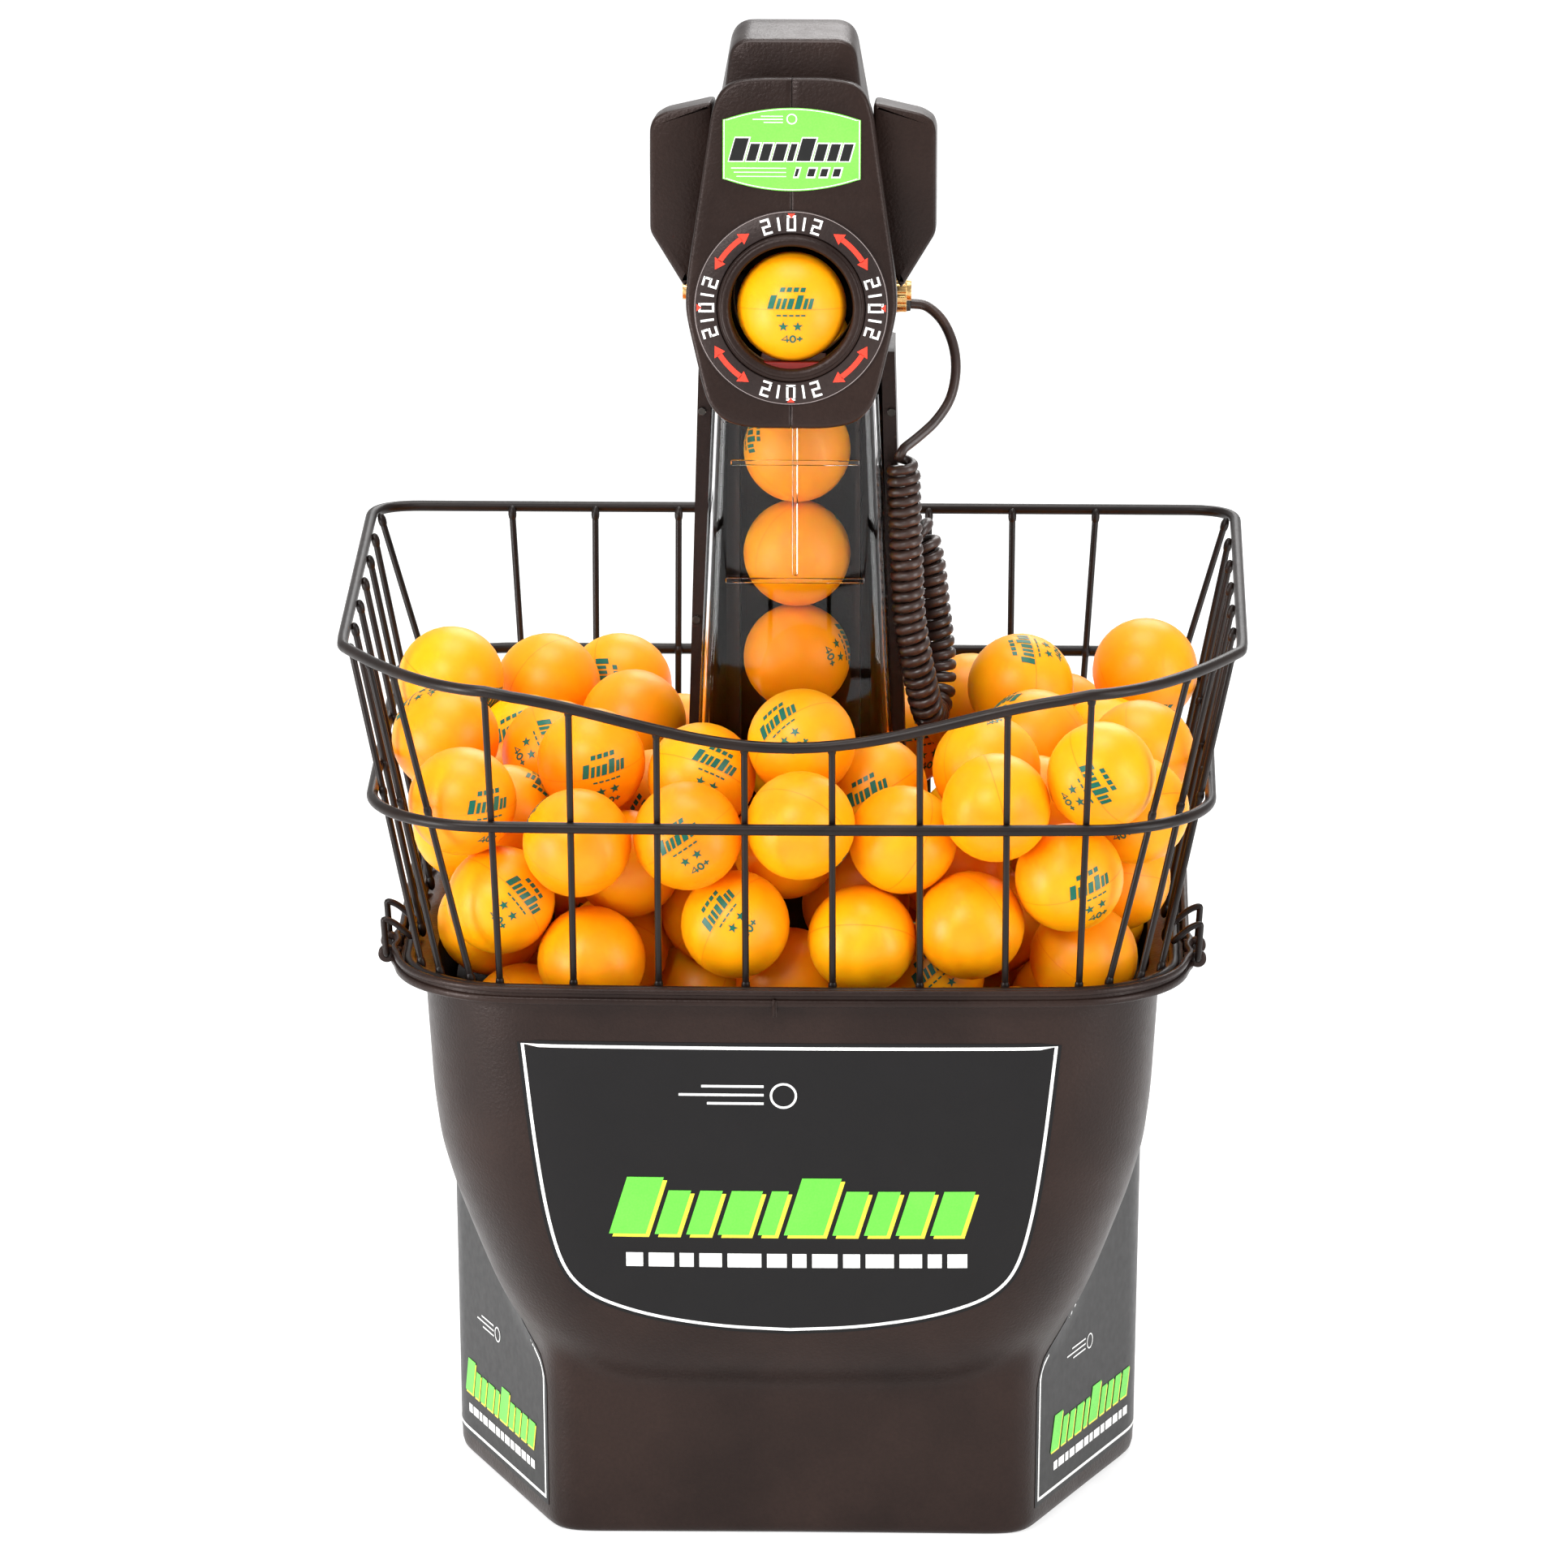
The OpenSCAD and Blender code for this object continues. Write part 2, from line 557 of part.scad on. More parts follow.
module tower_channel() color(body_brown) at_tower() {
    low_w = channel_w(channel_low);
    high_w = channel_w(channel_high);
    difference() {
        union() {
            translate([0, 0, gear_z]) cylinder(r = foot_r, h = channel_low + 2 - gear_z);
            translate([0, 0, bearing_z + 10.1]) cylinder(r = 33, h = 3);
            // floor and shoulder of the channel
            intersection() {
                translate([-low_w, -30, channel_low]) cube([2 * low_w, 58, 3]);
                translate([0, 0, channel_low]) cylinder(r = 46.2, h = 3);
            }
            translate([-high_w, -6, channel_high - 3]) cube([2 * high_w, 34, 3]);
        }
        translate([0, 0, gear_z - 1]) cylinder(r = ball_r + 1.5, h = 400);
        for (side = [-1, 1]) translate([side * 44, 30, 200]) rotate(45)
            cube([18, 18, 500], center = true);
    }
    side_strips(low_w, high_w, 2.5, channel_low, channel_high, -6, 20);
    side_strips(low_w, high_w, 5, channel_low, channel_high, -6, -3.5);
    side_strips(21.5 + 2, 21.5 + 2, 2, channel_low + 3, channel_high - 3, 4, 26);
    upright(25.5, 28) polygon([[-low_w + 8, channel_low], [low_w - 8, channel_low],
        [high_w - 8, channel_high], [-high_w + 8, channel_high]]);
    for (side = [-1, 1]) translate([0, 0, channel_low]) linear_extrude(channel_high - channel_low)
        polygon([[side * high_w, 19.4], [side * (high_w - 8.6), 28], [side * (high_w - 11.1), 27.4],
            [side * (high_w - 2.5), 18.6]]);
    tower_head();
}

// Cheeks that carry the tilt pivot, and the curved back that turns the balls forward
cheek_r = 26.5;
cheek_in = 25.6;
cheek_out = 29.4;

module tower_head() {
    rise = pivot_z;
    for (side = [-1, 1]) mirrored(side) difference() {
        union() {
            translate([cheek_in, 0, rise]) rotate([0, 90, 0])
                cylinder(r = cheek_r, h = cheek_out - cheek_in);
            translate([cheek_in, -18, channel_high - 2]) cube([cheek_out - cheek_in, 44, 24]);
        }
        translate([cheek_in - 1, 0, rise]) rotate([0, 90, 0]) cylinder(r = 3.5, h = 8);
    }
    rotate([90, 0, 90]) translate([0, 0, -cheek_in - 0.2]) linear_extrude(2 * cheek_in + 0.4)
        difference() {
            union() {
                intersection() {
                    translate([-6, 450]) circle(r = 33.5);
                    translate([-6, 450]) square(40);
                }
                translate([24, channel_high - 2]) square([3.5, 450 - channel_high + 2.1]);
            }
            translate([-6, 450]) circle(r = 30);
            translate([-60, 400]) square([84, 50]);
        }
}

module tower_window() color([0.85, 0.9, 0.92, 0.35]) at_tower() {
    z0 = channel_low + 3.2;
    z1 = 421.5;
    w0 = window_w(z0);
    w1 = window_w(z1);
    front = -33;
    side_strips(w0, w1, 2, z0, z1, front + 8, -3.7);
    upright(front, front + 2) polygon([[-w0 + 8, z0], [w0 - 8, z0], [w1 - 8, z1], [-w1 + 8, z1]]);
    for (side = [-1, 1]) mirrored(side) hull() {
        for (e = [[w0, z0], [w1, z1]]) translate([e[0] - 8.2, 0, e[1] - (e[1] == z1 ? 1 : 0)])
            linear_extrude(1) polygon([[0, front], [3.4, front + 0.7], [6.6, front + 3],
                [7.7, front + 5.6], [8.2, front + 8.2], [6.2, front + 8.2], [5.6, front + 6.2],
                [2.6, front + 2.6], [0, front + 2]]);
    }
    for (z = [352, 397]) translate([-window_w(z) + 8, front - 1.2, z - 1])
        cube([2 * window_w(z) - 16, 1.3, 2]);
    translate([-1, front - 1.2, 353]) cube([2, 1.3, 67.5]);
}

module tower_screws() color("silver") for (z = [262, 330, 410], side = [-1, 1])
    translate([side * (channel_w(z) - 1.8), tower_y - 7.6, z]) rotate([-90, 0, 0]) {
        cylinder(r = 1.5, h = 1.6);
        translate([0, 0, 1.6]) cylinder(r = 0.8, h = 2);
    }

// ---------- cord ----------

module cord_gland() color("black") translate([cheek_out, lead_route[0][1], lead_route[0][2]])
    rotate([0, 90, 0]) {
        length = lead_route[0][0] - cheek_out;
        cylinder(r = 4.6, h = 3);
        translate([0, 0, 3]) cylinder(r1 = 3.8, r2 = 2.7, h = length - 3);
    }

module cord_socket() color("black") {
    translate([12, tower_y + 28, 344]) cube([16, 15, 16]);
    translate([28, 53, 352]) rotate([0, 90, 0]) cylinder(r = 4.2, h = 2);
}

module cord_lead() color("black") {
    sweep_tube(smooth(lead_route, 3), cord_d / 2, up = [0, 1, 0]);
    sweep_tube(smooth(tail_route, 2), cord_d / 2, up = [0, 1, 0]);
}

module curly_cord() color("black")
    sweep_tube(smooth(curl_route, 2), curl_d / 2, sides = 12, up = [1, -1, 0]);

// ---------- cradle ----------

module cradle() color(body_brown) at_head() {
    difference() {
        translate([0, 70, 0]) rotate([90, 0, 0]) cylinder(r = 35, h = 4);
        translate([0, 80, 0]) rotate([90, 0, 0]) cylinder(r = throat_r + fit, h = 20);
    }
    for (side = [-1, 1]) mirrored(side) difference() {
        union() {
            translate([30, 66.5, -9]) cube([4.5, head_reach - 66.5, 18]);
            translate([30, head_reach, 0]) rotate([0, 90, 0]) cylinder(r = 9, h = 4.5);
        }
        translate([20, head_reach, 0]) rotate([0, 90, 0]) cylinder(r = 3.5, h = 20);
    }
}

// Brass thumb nuts on the two tilt studs
module tilt_nut(side) color("goldenrod") translate([0, tower_y, pivot_z]) mirrored(side)
    rotate([0, 90, 0]) {
        translate([0, 0, 34.7]) difference() {
            cylinder(r = 8.3, h = 6);
            for (i = [0:11]) rotate(30 * i) translate([8.9, 0, -1]) cylinder(r = 1.2, h = 8, $fn = 16);
        }
        translate([0, 0, 40.5]) cylinder(r = 4, h = 2);
        translate([0, 0, 25]) cylinder(r = 3.44, h = 10);
    }

module tilt_nut_left() tilt_nut(-1);
module tilt_nut_right() tilt_nut(1);

// ---------- head ----------

throat_r = 24.9;
face_depth = 18;
shell_rear = 63;
shell = 2.2;
face_outline = [[13, 83.4], [22, 82], [27, 77.5], [29.4, 70], [30.6, 61], [37.6, 13],
    [38.4, 4], [38.2, -3], [31.8, -30], [29.5, -36], [24, -41.8], [14, -44]];
core_outline = [[29, 72], [29, 20], [36, 12], [36, -6], [29, -32], [22, -36]];

module half_plan(outline) polygon(concat([[0, outline[0][1]]], outline,
    [[0, outline[len(outline) - 1][1]]]));

// Right half of the head's casing
module face_half() difference() {
    union() {
        upright(0, face_depth) half_plan(face_outline);
        upright(face_depth - 0.01, shell_rear) half_plan(core_outline);
    }
    upright(shell, face_depth - 0.5) offset(delta = -shell) half_plan(face_outline);
    upright(face_depth - 1, shell_rear - shell) offset(delta = -shell) half_plan(core_outline);
    translate([-1, shell, -40]) cube([4, face_depth - shell - 0.5, 120]);
    translate([-1, face_depth - 1, -33]) cube([4, shell_rear - shell - face_depth + 1, 110]);
    translate([-1, face_depth - 1, 60]) cube([27.8, shell_rear - shell - face_depth + 1, 20]);
    translate([0, 80, 0]) rotate([90, 0, 0]) cylinder(r = throat_r + 0.3, h = 40);
    translate([0, 10, 0]) rotate([90, 0, 0]) cylinder(r = 27.2, h = 20);
    translate([24, wheel_y, wheel_z]) rotate([0, 90, 0]) cylinder(r = 15, h = 13);
}

module face_right() color(body_brown) at_head() face_half();
module face_left() color(body_brown) at_head() mirrored(-1) face_half();

module throat_tube() color("dimgray") at_head() difference() {
    union() {
        translate([0, 71.6, 0]) rotate([90, 0, 0]) cylinder(r = throat_r, h = 20);
        translate([0, 72, 0]) rotate([90, 0, 0]) cylinder(r = throat_r + 2, h = 1.8);
        translate([0, 60.6, 0]) rotate([90, 0, 0]) cylinder(r = throat_r + 3, h = 3);
    }
    translate([0, 80, 0]) rotate([90, 0, 0]) cylinder(r = muzzle_r, h = 60);
}

module muzzle_ring() color("black") at_head() difference() {
    union() {
        translate([0, 20, 0]) rotate([90, 0, 0]) cylinder(r = 25.6, h = 21);
        translate([0, 0, 0]) rotate([90, 0, 0]) cylinder(r = 26.9, h = 1.6);
        translate([0, 2.4, 0]) rotate([90, 0, 0]) cylinder(r = 27.1, h = 2.5);
    }
    translate([0, 30, 0]) rotate([90, 0, 0]) cylinder(r = muzzle_r, h = 40);
    translate([-30, 4, muzzle_r - 3]) cube([60, 30, 20]);
    translate([-12.2, 3.9, -40]) cube([24.4, 30, 30]);
}

module spin_dial() color("black") at_head() difference() {
    translate([0, 0, 0]) rotate([90, 0, 0]) cylinder(r = 35.4, h = 0.8);
    translate([0, 1, 0]) rotate([90, 0, 0]) cylinder(r = 27, h = 4);
}

// The friction block holds the ball up against the wheel
module friction_block() color("firebrick") at_head() translate([-12, 4, -29])
    cube([24, 47.4, 29 - ball_r]);

wheel_y = 32.5;
wheel_z = ball_r + 0.4 + wheel_r;

// A wing covers one end of the wheel's axle; the right one holds the motor
module wing() {
    outline = [[29.3, 74], [47, 70], [51, 67.5], [52.2, 64], [52.2, 26], [39.5, 5], [36.5, 11.5],
        [29.3, 20.6]];
    difference() {
        upright(face_depth + 0.2, shell_rear - 2) polygon(outline);
        in_front_of_wing(face_depth + 0.2);
        difference() {
            upright(face_depth + shell, shell_rear - 2 - shell) offset(delta = -shell)
                polygon(outline);
            in_front_of_wing(face_depth + 0.2 + shell);
        }
        translate([27, wheel_y, wheel_z]) rotate([0, 90, 0]) cylinder(r = motor_r + 0.3, h = 8);
    }
}

// Below its crease a wing's front leans back
module in_front_of_wing(depth) translate([20, depth, 54]) rotate([atan(0.22), 0, 0])
    translate([0, -40, -80]) cube([40, 40, 80]);

module wing_right() color(body_brown) at_head() wing();
module wing_left() color(body_brown) at_head() mirrored(-1) wing();

module wheel_hood() color(body_brown) at_head() difference() {
    hood_form(0);
    hood_form(shell);
    translate([-28, 10, 60]) cube([56, 70, 12.2]);
}

// The hood's form: smaller at the front, rounded over at the top and the back
module hood_form(inset) hull() for (s = [[17, 27, 20, 96.5], [50, 29, 19.5, 102.5],
        [shell_rear - 0.5, 28, 17, 96]]) {
    y = s[0] + (s[0] < 30 ? inset : -inset);
    for (side = [-1, 1]) {
        translate([side * (s[1] - 2 - inset), y, 72.5]) sphere(0.5, $fn = 8);
        translate([side * (s[2] - 3 - inset), y, s[3] - 6 - inset]) rotate([90, 0, 0])
            cylinder(r = 6, h = 0.5, center = true, $fn = 24);
    }
}

motor_r = 10.6;
module speed_motor() color("silver") at_head() translate([0, wheel_y, wheel_z])
    rotate([0, 90, 0]) difference() {
        union() {
            translate([0, 0, 12]) cylinder(r = motor_r, h = 37);
            translate([0, 0, 10]) cylinder(r = 5, h = 3);
        }
        translate([0, 0, 0]) cylinder(r = 1.6 + fit, h = 30);
    }

module wheel_hub() color("silver") at_head() translate([0, wheel_y, wheel_z])
    rotate([0, 90, 0]) {
        difference() {
            translate([0, 0, -7]) cylinder(r = wheel_r - 5, h = 14);
            for (i = [0:5]) rotate(60 * i) translate([15, 0, -8]) cylinder(r = 4.5, h = 16);
        }
        translate([0, 0, -14]) cylinder(r = 1.6, h = 42);
        translate([0, 0, -9]) cylinder(r = 6, h = 18);
    }

module wheel_tyre() color("black") at_head() translate([0, wheel_y, wheel_z])
    rotate([0, 90, 0]) difference() {
        translate([0, 0, -8]) cylinder(r = wheel_r, h = 16);
        translate([0, 0, -9]) cylinder(r = wheel_r - 5, h = 18);
    }

module head_screws() color("silver") at_head() for (side = [-1, 1],
        p = [[side * 24, 30], [side * 24, 55], [side * 25, -26]])
    translate([p[0], shell_rear + 0.1, p[1]]) rotate([-90, 0, 0]) {
        cylinder(r = 2.4, h = 1.4);
        translate([0, 0, -5]) cylinder(r = 1.2, h = 5.1);
    }

// Generic label plate on the upper face
label_plan = concat([for (i = [-4:4]) [i * 6.3, 72.8 - 0.19 * i * i * 1.5]],
    [for (i = [4:-1:-4]) [i * 6.3, 42.3 + 0.19 * i * i * 1.5]]);

module head_label() color("limegreen") at_head() upright(-0.5, 0) polygon(label_plan);

// ---------- drawing ----------

bucket();
hopper_floor();
chassis_screws();
standoffs();
basket_top_ring();
basket_mid_ring();
basket_bottom_ring();
basket_wires();
ball_pile();
chassis_plate();
tower_bearing();
oscillator_motor();
feed_gearmotor();
feed_guide();
cable_socket();
feed_wheel();
pocket_balls();
osc_pinion();
tower_channel();
tower_window();
sector_gear();
tube_balls();
tower_screws();
cord_gland();
cord_socket();
cord_lead();
curly_cord();
cradle();
face_left();
face_right();
throat_tube();
muzzle_ring();
spin_dial();
wing_left();
wing_right();
wheel_hood();
friction_block();
speed_motor();
head_screws();
head_label();
served_ball();
wheel_hub();
wheel_tyre();
tilt_nut_left();
tilt_nut_right();
clip_left();
clip_right();
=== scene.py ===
import json
import math
import random

import bmesh
import bpy
import numpy as np
from mathutils import Matrix, Vector
from mathutils.bvhtree import BVHTree


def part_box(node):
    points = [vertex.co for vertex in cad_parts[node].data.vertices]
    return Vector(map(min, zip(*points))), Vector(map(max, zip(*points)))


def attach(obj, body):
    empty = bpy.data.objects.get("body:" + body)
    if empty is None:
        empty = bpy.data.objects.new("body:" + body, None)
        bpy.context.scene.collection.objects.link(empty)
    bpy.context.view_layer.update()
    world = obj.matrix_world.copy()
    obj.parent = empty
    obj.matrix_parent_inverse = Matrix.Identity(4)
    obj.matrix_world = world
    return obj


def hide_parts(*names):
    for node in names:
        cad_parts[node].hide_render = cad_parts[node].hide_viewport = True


# Looks of a table-tennis ball robot, built round its CAD frame. Lengths are in millimetres
# up to the point where a mesh or a curve is made, and +Z is up.
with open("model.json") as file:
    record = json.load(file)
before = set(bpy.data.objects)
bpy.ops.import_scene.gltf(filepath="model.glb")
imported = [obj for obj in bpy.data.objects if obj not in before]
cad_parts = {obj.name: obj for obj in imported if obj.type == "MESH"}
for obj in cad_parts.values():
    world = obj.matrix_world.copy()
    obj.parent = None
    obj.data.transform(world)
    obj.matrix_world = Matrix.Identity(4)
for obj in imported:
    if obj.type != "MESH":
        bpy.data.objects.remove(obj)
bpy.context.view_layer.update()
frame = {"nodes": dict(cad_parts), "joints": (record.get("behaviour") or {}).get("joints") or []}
MM = 0.001
JOINTS = {j["name"]: j for j in frame["joints"]}


# ---------- frame of the head ----------

HEAD_REACH = 101.2                     # from the tilt pivot to the face
THROW_AXIS = Vector(JOINTS["head_spin"]["axis"])
PIVOT = Vector(JOINTS["head_spin"]["pos_m"]) / MM


def head_frame():
    """Millimetres in the head's own frame, Y back along the throw line, to the row frame."""
    back = -THROW_AXIS
    up = Vector((1, 0, 0)).cross(back)
    matrix = Matrix(((1, back.x, up.x), (0, back.y, up.y), (0, back.z, up.z))).to_4x4()
    matrix.translation = PIVOT - back * HEAD_REACH
    return matrix


HEAD = head_frame()
ROW = Matrix.Identity(4)


def box_mm(node):
    """A CAD node's lowest and highest corner in millimetres."""
    low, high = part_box(node)
    return low / MM, high / MM


# ---------- camera ----------

def set_camera():
    azimuth, elevation = math.radians(1.3), math.radians(15.2)
    distance = 4.48
    target = Vector((-0.0035, -0.044, 0.281))
    back = Vector((math.sin(azimuth) * math.cos(elevation),
                   -math.cos(azimuth) * math.cos(elevation), math.sin(elevation)))
    camera = bpy.data.objects.new("camera", bpy.data.cameras.new("camera"))
    bpy.context.scene.collection.objects.link(camera)
    camera.location = target + back * distance
    camera.rotation_euler = back.to_track_quat("Z", "Y").to_euler()
    camera.data.sensor_width = 36
    camera.data.lens = 277.64
    camera.data.clip_end = 50
    bpy.context.scene.camera = camera


# ---------- materials ----------

def srgb(r, g, b):
    """Linear colour of an 8-bit screen colour."""
    return tuple((c / 12.92 if c <= 0.04045 else ((c + 0.055) / 1.055) ** 2.4)
                 for c in (r / 255, g / 255, b / 255)) + (1,)


class Finish:
    """A node material. Colour, roughness and bump are varied by noise in object space."""

    def __init__(self, name, **sockets):
        self.material = bpy.data.materials.new(name)
        self.material.use_nodes = True
        self.tree = self.material.node_tree
        self.shader = self.tree.nodes["Principled BSDF"]
        self.coordinates = self.node("ShaderNodeTexCoord")
        for socket, value in sockets.items():
            self.shader.inputs[socket.replace("_", " ")].default_value = value

    def node(self, kind, **inputs):
        made = self.tree.nodes.new(kind)
        for socket, value in inputs.items():
            made.inputs[socket.replace("_", " ")].default_value = value
        return made

    def link(self, output, target):
        self.tree.links.new(output, target)

    def noise(self, scale, detail=3, stretch=None):
        made = self.node("ShaderNodeTexNoise", Scale=scale, Detail=detail)
        source = self.coordinates.outputs["Object"]
        if stretch:
            mapping = self.node("ShaderNodeMapping", Scale=stretch)
            self.link(source, mapping.inputs["Vector"])
            source = mapping.outputs["Vector"]
        self.link(source, made.inputs["Vector"])
        return made.outputs["Fac"]

    def ramp(self, factor, stops):
        made = self.node("ShaderNodeValToRGB")
        elements = made.color_ramp.elements
        while len(elements) < len(stops):
            elements.new(0.5)
        for element, (position, colour) in zip(elements, stops):
            element.position = position
            element.color = colour
        self.link(factor, made.inputs["Fac"])
        return made.outputs["Color"]

    def mix(self, factor, a, b, kind="MIX"):
        made = self.node("ShaderNodeMix")
        made.data_type = "RGBA"
        made.blend_type = kind
        for value, index in ((factor, 0), (a, 6), (b, 7)):
            if isinstance(value, bpy.types.NodeSocket):
                self.link(value, made.inputs[index])
            else:
                made.inputs[index].default_value = value
        return made.outputs[2]

    def colour(self, output):
        self.link(output, self.shader.inputs["Base Color"])
        return self

    def mottle(self, dark, light, broad, fine, low=0.35, high=0.65, stretch=None):
        """Two tones mixed by a broad noise, with a fine speckle over them."""
        wide = self.ramp(self.noise(broad, 4, stretch), [(low, dark), (high, light)])
        speck = self.ramp(self.noise(fine, 2), [(0.3, (0.82, 0.82, 0.82, 1)), (0.7, (1, 1, 1, 1))])
        return self.colour(self.mix(1.0, wide, speck, "MULTIPLY"))

    def roughen(self, scale, low, high):
        spread = self.node("ShaderNodeMapRange", To_Min=low, To_Max=high)
        self.link(self.noise(scale, 3), spread.inputs["Value"])
        self.link(spread.outputs["Result"], self.shader.inputs["Roughness"])
        return self

    def bump(self, scale, strength, depth, detail=2, stretch=None):
        made = self.node("ShaderNodeBump", Strength=strength, Distance=depth)
        self.link(self.noise(scale, detail, stretch), made.inputs["Height"])
        self.link(made.outputs["Normal"], self.shader.inputs["Normal"])
        return self


def moulded(name, dark, light, low, high, grain=900, depth=0.00025):
    """Moulded plastic with a fine eroded grain."""
    return (Finish(name, Specular_Tint=(1, 0.86, 0.83, 1), Specular_IOR_Level=0.24)
            .mottle(dark, light, 22, 700).roughen(160, low, high).bump(grain, 0.55, depth))


def printed(name, colour, shade=0.86, shine=0.4):
    """Printed ink or film: even, with a faint mottle and a soft gloss."""
    dark = tuple(c * shade for c in colour[:3]) + (1,)
    return (Finish(name, Specular_IOR_Level=shine).mottle(dark, colour, 60, 1500, 0.2, 0.7)
            .roughen(300, 0.3, 0.44))


def metal(name, dark, light, low, high):
    return (Finish(name, Metallic=1.0).mottle(dark, light, 90, 1200).roughen(500, low, high)
            .bump(1600, 0.25, 0.00003, 2, (1, 1, 0.08)))


def ball_plastic():
    """Thin celluloid-like shell: a tone of its own for each ball and a faint seam."""
    finish = Finish("ball_plastic", Subsurface_Weight=0.5, Subsurface_Scale=0.01,
                    Subsurface_Radius=(1.0, 0.35, 0.05), Specular_IOR_Level=0.3)
    tone = finish.node("ShaderNodeAttribute")
    tone.attribute_name = "tone"
    base = finish.ramp(tone.outputs["Fac"], [(0.0, srgb(252, 150, 0)), (1.0, srgb(255, 170, 2))])
    cloud = finish.ramp(finish.noise(70, 3), [(0.3, (0.94, 0.9, 0.85, 1)), (0.7, (1, 1, 1, 1))])
    base = finish.mix(1.0, base, cloud, "MULTIPLY")
    own = finish.node("ShaderNodeAttribute")
    own.attribute_name = "own_axes"
    split = finish.node("ShaderNodeSeparateXYZ")
    finish.link(own.outputs["Vector"], split.inputs["Vector"])
    height = finish.node("ShaderNodeMath")
    height.operation = "ABSOLUTE"
    finish.link(split.outputs["Z"], height.inputs[0])
    seam = finish.ramp(height.outputs["Value"], [(0.004, (1, 1, 1, 1)), (0.016, (0, 0, 0, 1))])
    finish.colour(finish.mix(seam, base, srgb(242, 136, 4)))
    return finish.roughen(120, 0.34, 0.46).bump(500, 0.12, 0.00005)


def clear_plastic():
    return (Finish("clear_plastic", Base_Color=(0.98, 0.985, 0.99, 1), Transmission_Weight=1.0,
                   IOR=1.26).roughen(60, 0.0, 0.02).bump(14, 0.05, 0.0002))


def coat():
    """Dark powder coat on the wires: a soft orange peel."""
    return (Finish("wire_coat", Specular_IOR_Level=0.24)
            .mottle(srgb(18, 11, 9), srgb(30, 20, 16), 45, 900).roughen(220, 0.3, 0.45)
            .bump(420, 0.35, 0.0001))


def rubber(name, dark, light, low=0.45, high=0.6):
    return (Finish(name).mottle(dark, light, 60, 1400).roughen(400, low, high)
            .bump(900, 0.4, 0.0001))


def make_finishes():
    made = {
        "body_plastic": moulded("body_plastic", srgb(27, 17, 14), srgb(38, 26, 22), 0.3, 0.44),
        "inner_plastic": moulded("inner_plastic", srgb(40, 38, 38), srgb(56, 54, 54), 0.45, 0.6),
        "wire_coat": coat(),
        "ball_plastic": ball_plastic(),
        "clear_plastic": clear_plastic(),
        "gear_plastic": moulded("gear_plastic", srgb(214, 208, 190), srgb(236, 231, 216), 0.3, 0.42),
        "steel": metal("steel", (0.5, 0.5, 0.51, 1), (0.66, 0.66, 0.67, 1), 0.22, 0.36),
        "brass": metal("brass", (0.6, 0.36, 0.13, 1), (0.78, 0.52, 0.22, 1), 0.2, 0.34),
        "black_rubber": rubber("black_rubber", srgb(20, 19, 19), srgb(34, 32, 32)),
        "red_rubber": rubber("red_rubber", srgb(120, 22, 18), srgb(160, 34, 26)),
        "cord_rubber": rubber("cord_rubber", srgb(44, 30, 26), srgb(64, 46, 40), 0.28, 0.4),
        "label_film": printed("label_film", srgb(120, 204, 78)),
        "dial_film": moulded("dial_film", srgb(34, 27, 26), srgb(46, 37, 35), 0.34, 0.46),
        "black_film": printed("black_film", srgb(17, 15, 16), 0.8, 0.22),
        # Light grey for the thin ring at the dial's edge: a painted highlight along the rim
        "painted_rim_highlight": printed("painted_rim_highlight", srgb(150, 138, 136)),
        "dark_steel": metal("dark_steel", (0.05, 0.045, 0.04, 1), (0.1, 0.09, 0.085, 1), 0.35, 0.5),
        "white_ink": printed("white_ink", srgb(240, 240, 238), 0.93),
        "green_ink": printed("green_ink", srgb(104, 214, 66)),
        "yellow_ink": printed("yellow_ink", srgb(236, 226, 60)),
        "red_ink": printed("red_ink", srgb(238, 64, 44)),
        "black_ink": printed("black_ink", srgb(16, 16, 16)),
        "ball_ink": printed("ball_ink", srgb(0, 98, 78)),
    }
    return {name: finish.material for name, finish in made.items()}


INK = make_finishes()


# ---------- mesh helpers ----------

class Shape:
    """Vertices and faces in millimetres, with a finish for each face."""

    def __init__(self, *finishes):
        self.finishes = finishes
        self.points, self.faces, self.inks = [], [], []

    def add(self, points, faces, ink=0):
        base = len(self.points)
        self.points += [Vector(p) for p in points]
        self.faces += [[base + i for i in face] for face in faces]
        self.inks += [ink] * len(faces)
        return self

    def build(self, name, body, place=ROW, replaces=(), crease=38, attributes=None):
        mesh = bpy.data.meshes.new(name)
        mesh.from_pydata([place @ p * MM for p in self.points], [], self.faces)
        for finish in self.finishes:
            mesh.materials.append(INK[finish])
        mesh.polygons.foreach_set("material_index", self.inks)
        outward(mesh)
        for attribute, (kind, field, values) in (attributes or {}).items():
            made = mesh.attributes.new(attribute, kind, "POINT")
            made.data.foreach_set(field, np.asarray(values, np.float32).ravel())
        mesh.shade_smooth()
        mesh.set_sharp_from_angle(angle=math.radians(crease))
        mesh.update()
        piece = bpy.data.objects.new(name, mesh)
        bpy.context.scene.collection.objects.link(piece)
        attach(piece, body)
        if replaces:
            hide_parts(*replaces)
        return piece


def outward(mesh):
    """Turns the faces of each closed part outwards."""
    edit = bmesh.new()
    edit.from_mesh(mesh)
    bmesh.ops.recalc_face_normals(edit, faces=edit.faces)
    edit.to_mesh(mesh)
    edit.free()


def grid_faces(rows, columns, wrap_rows=False, wrap_columns=True):
    """Quads over a grid of points stored row by row."""
    return [[r * columns + c, r * columns + (c + 1) % columns,
             (r + 1) % rows * columns + (c + 1) % columns, (r + 1) % rows * columns + c]
            for r in range(rows if wrap_rows else rows - 1)
            for c in range(columns if wrap_columns else columns - 1)]


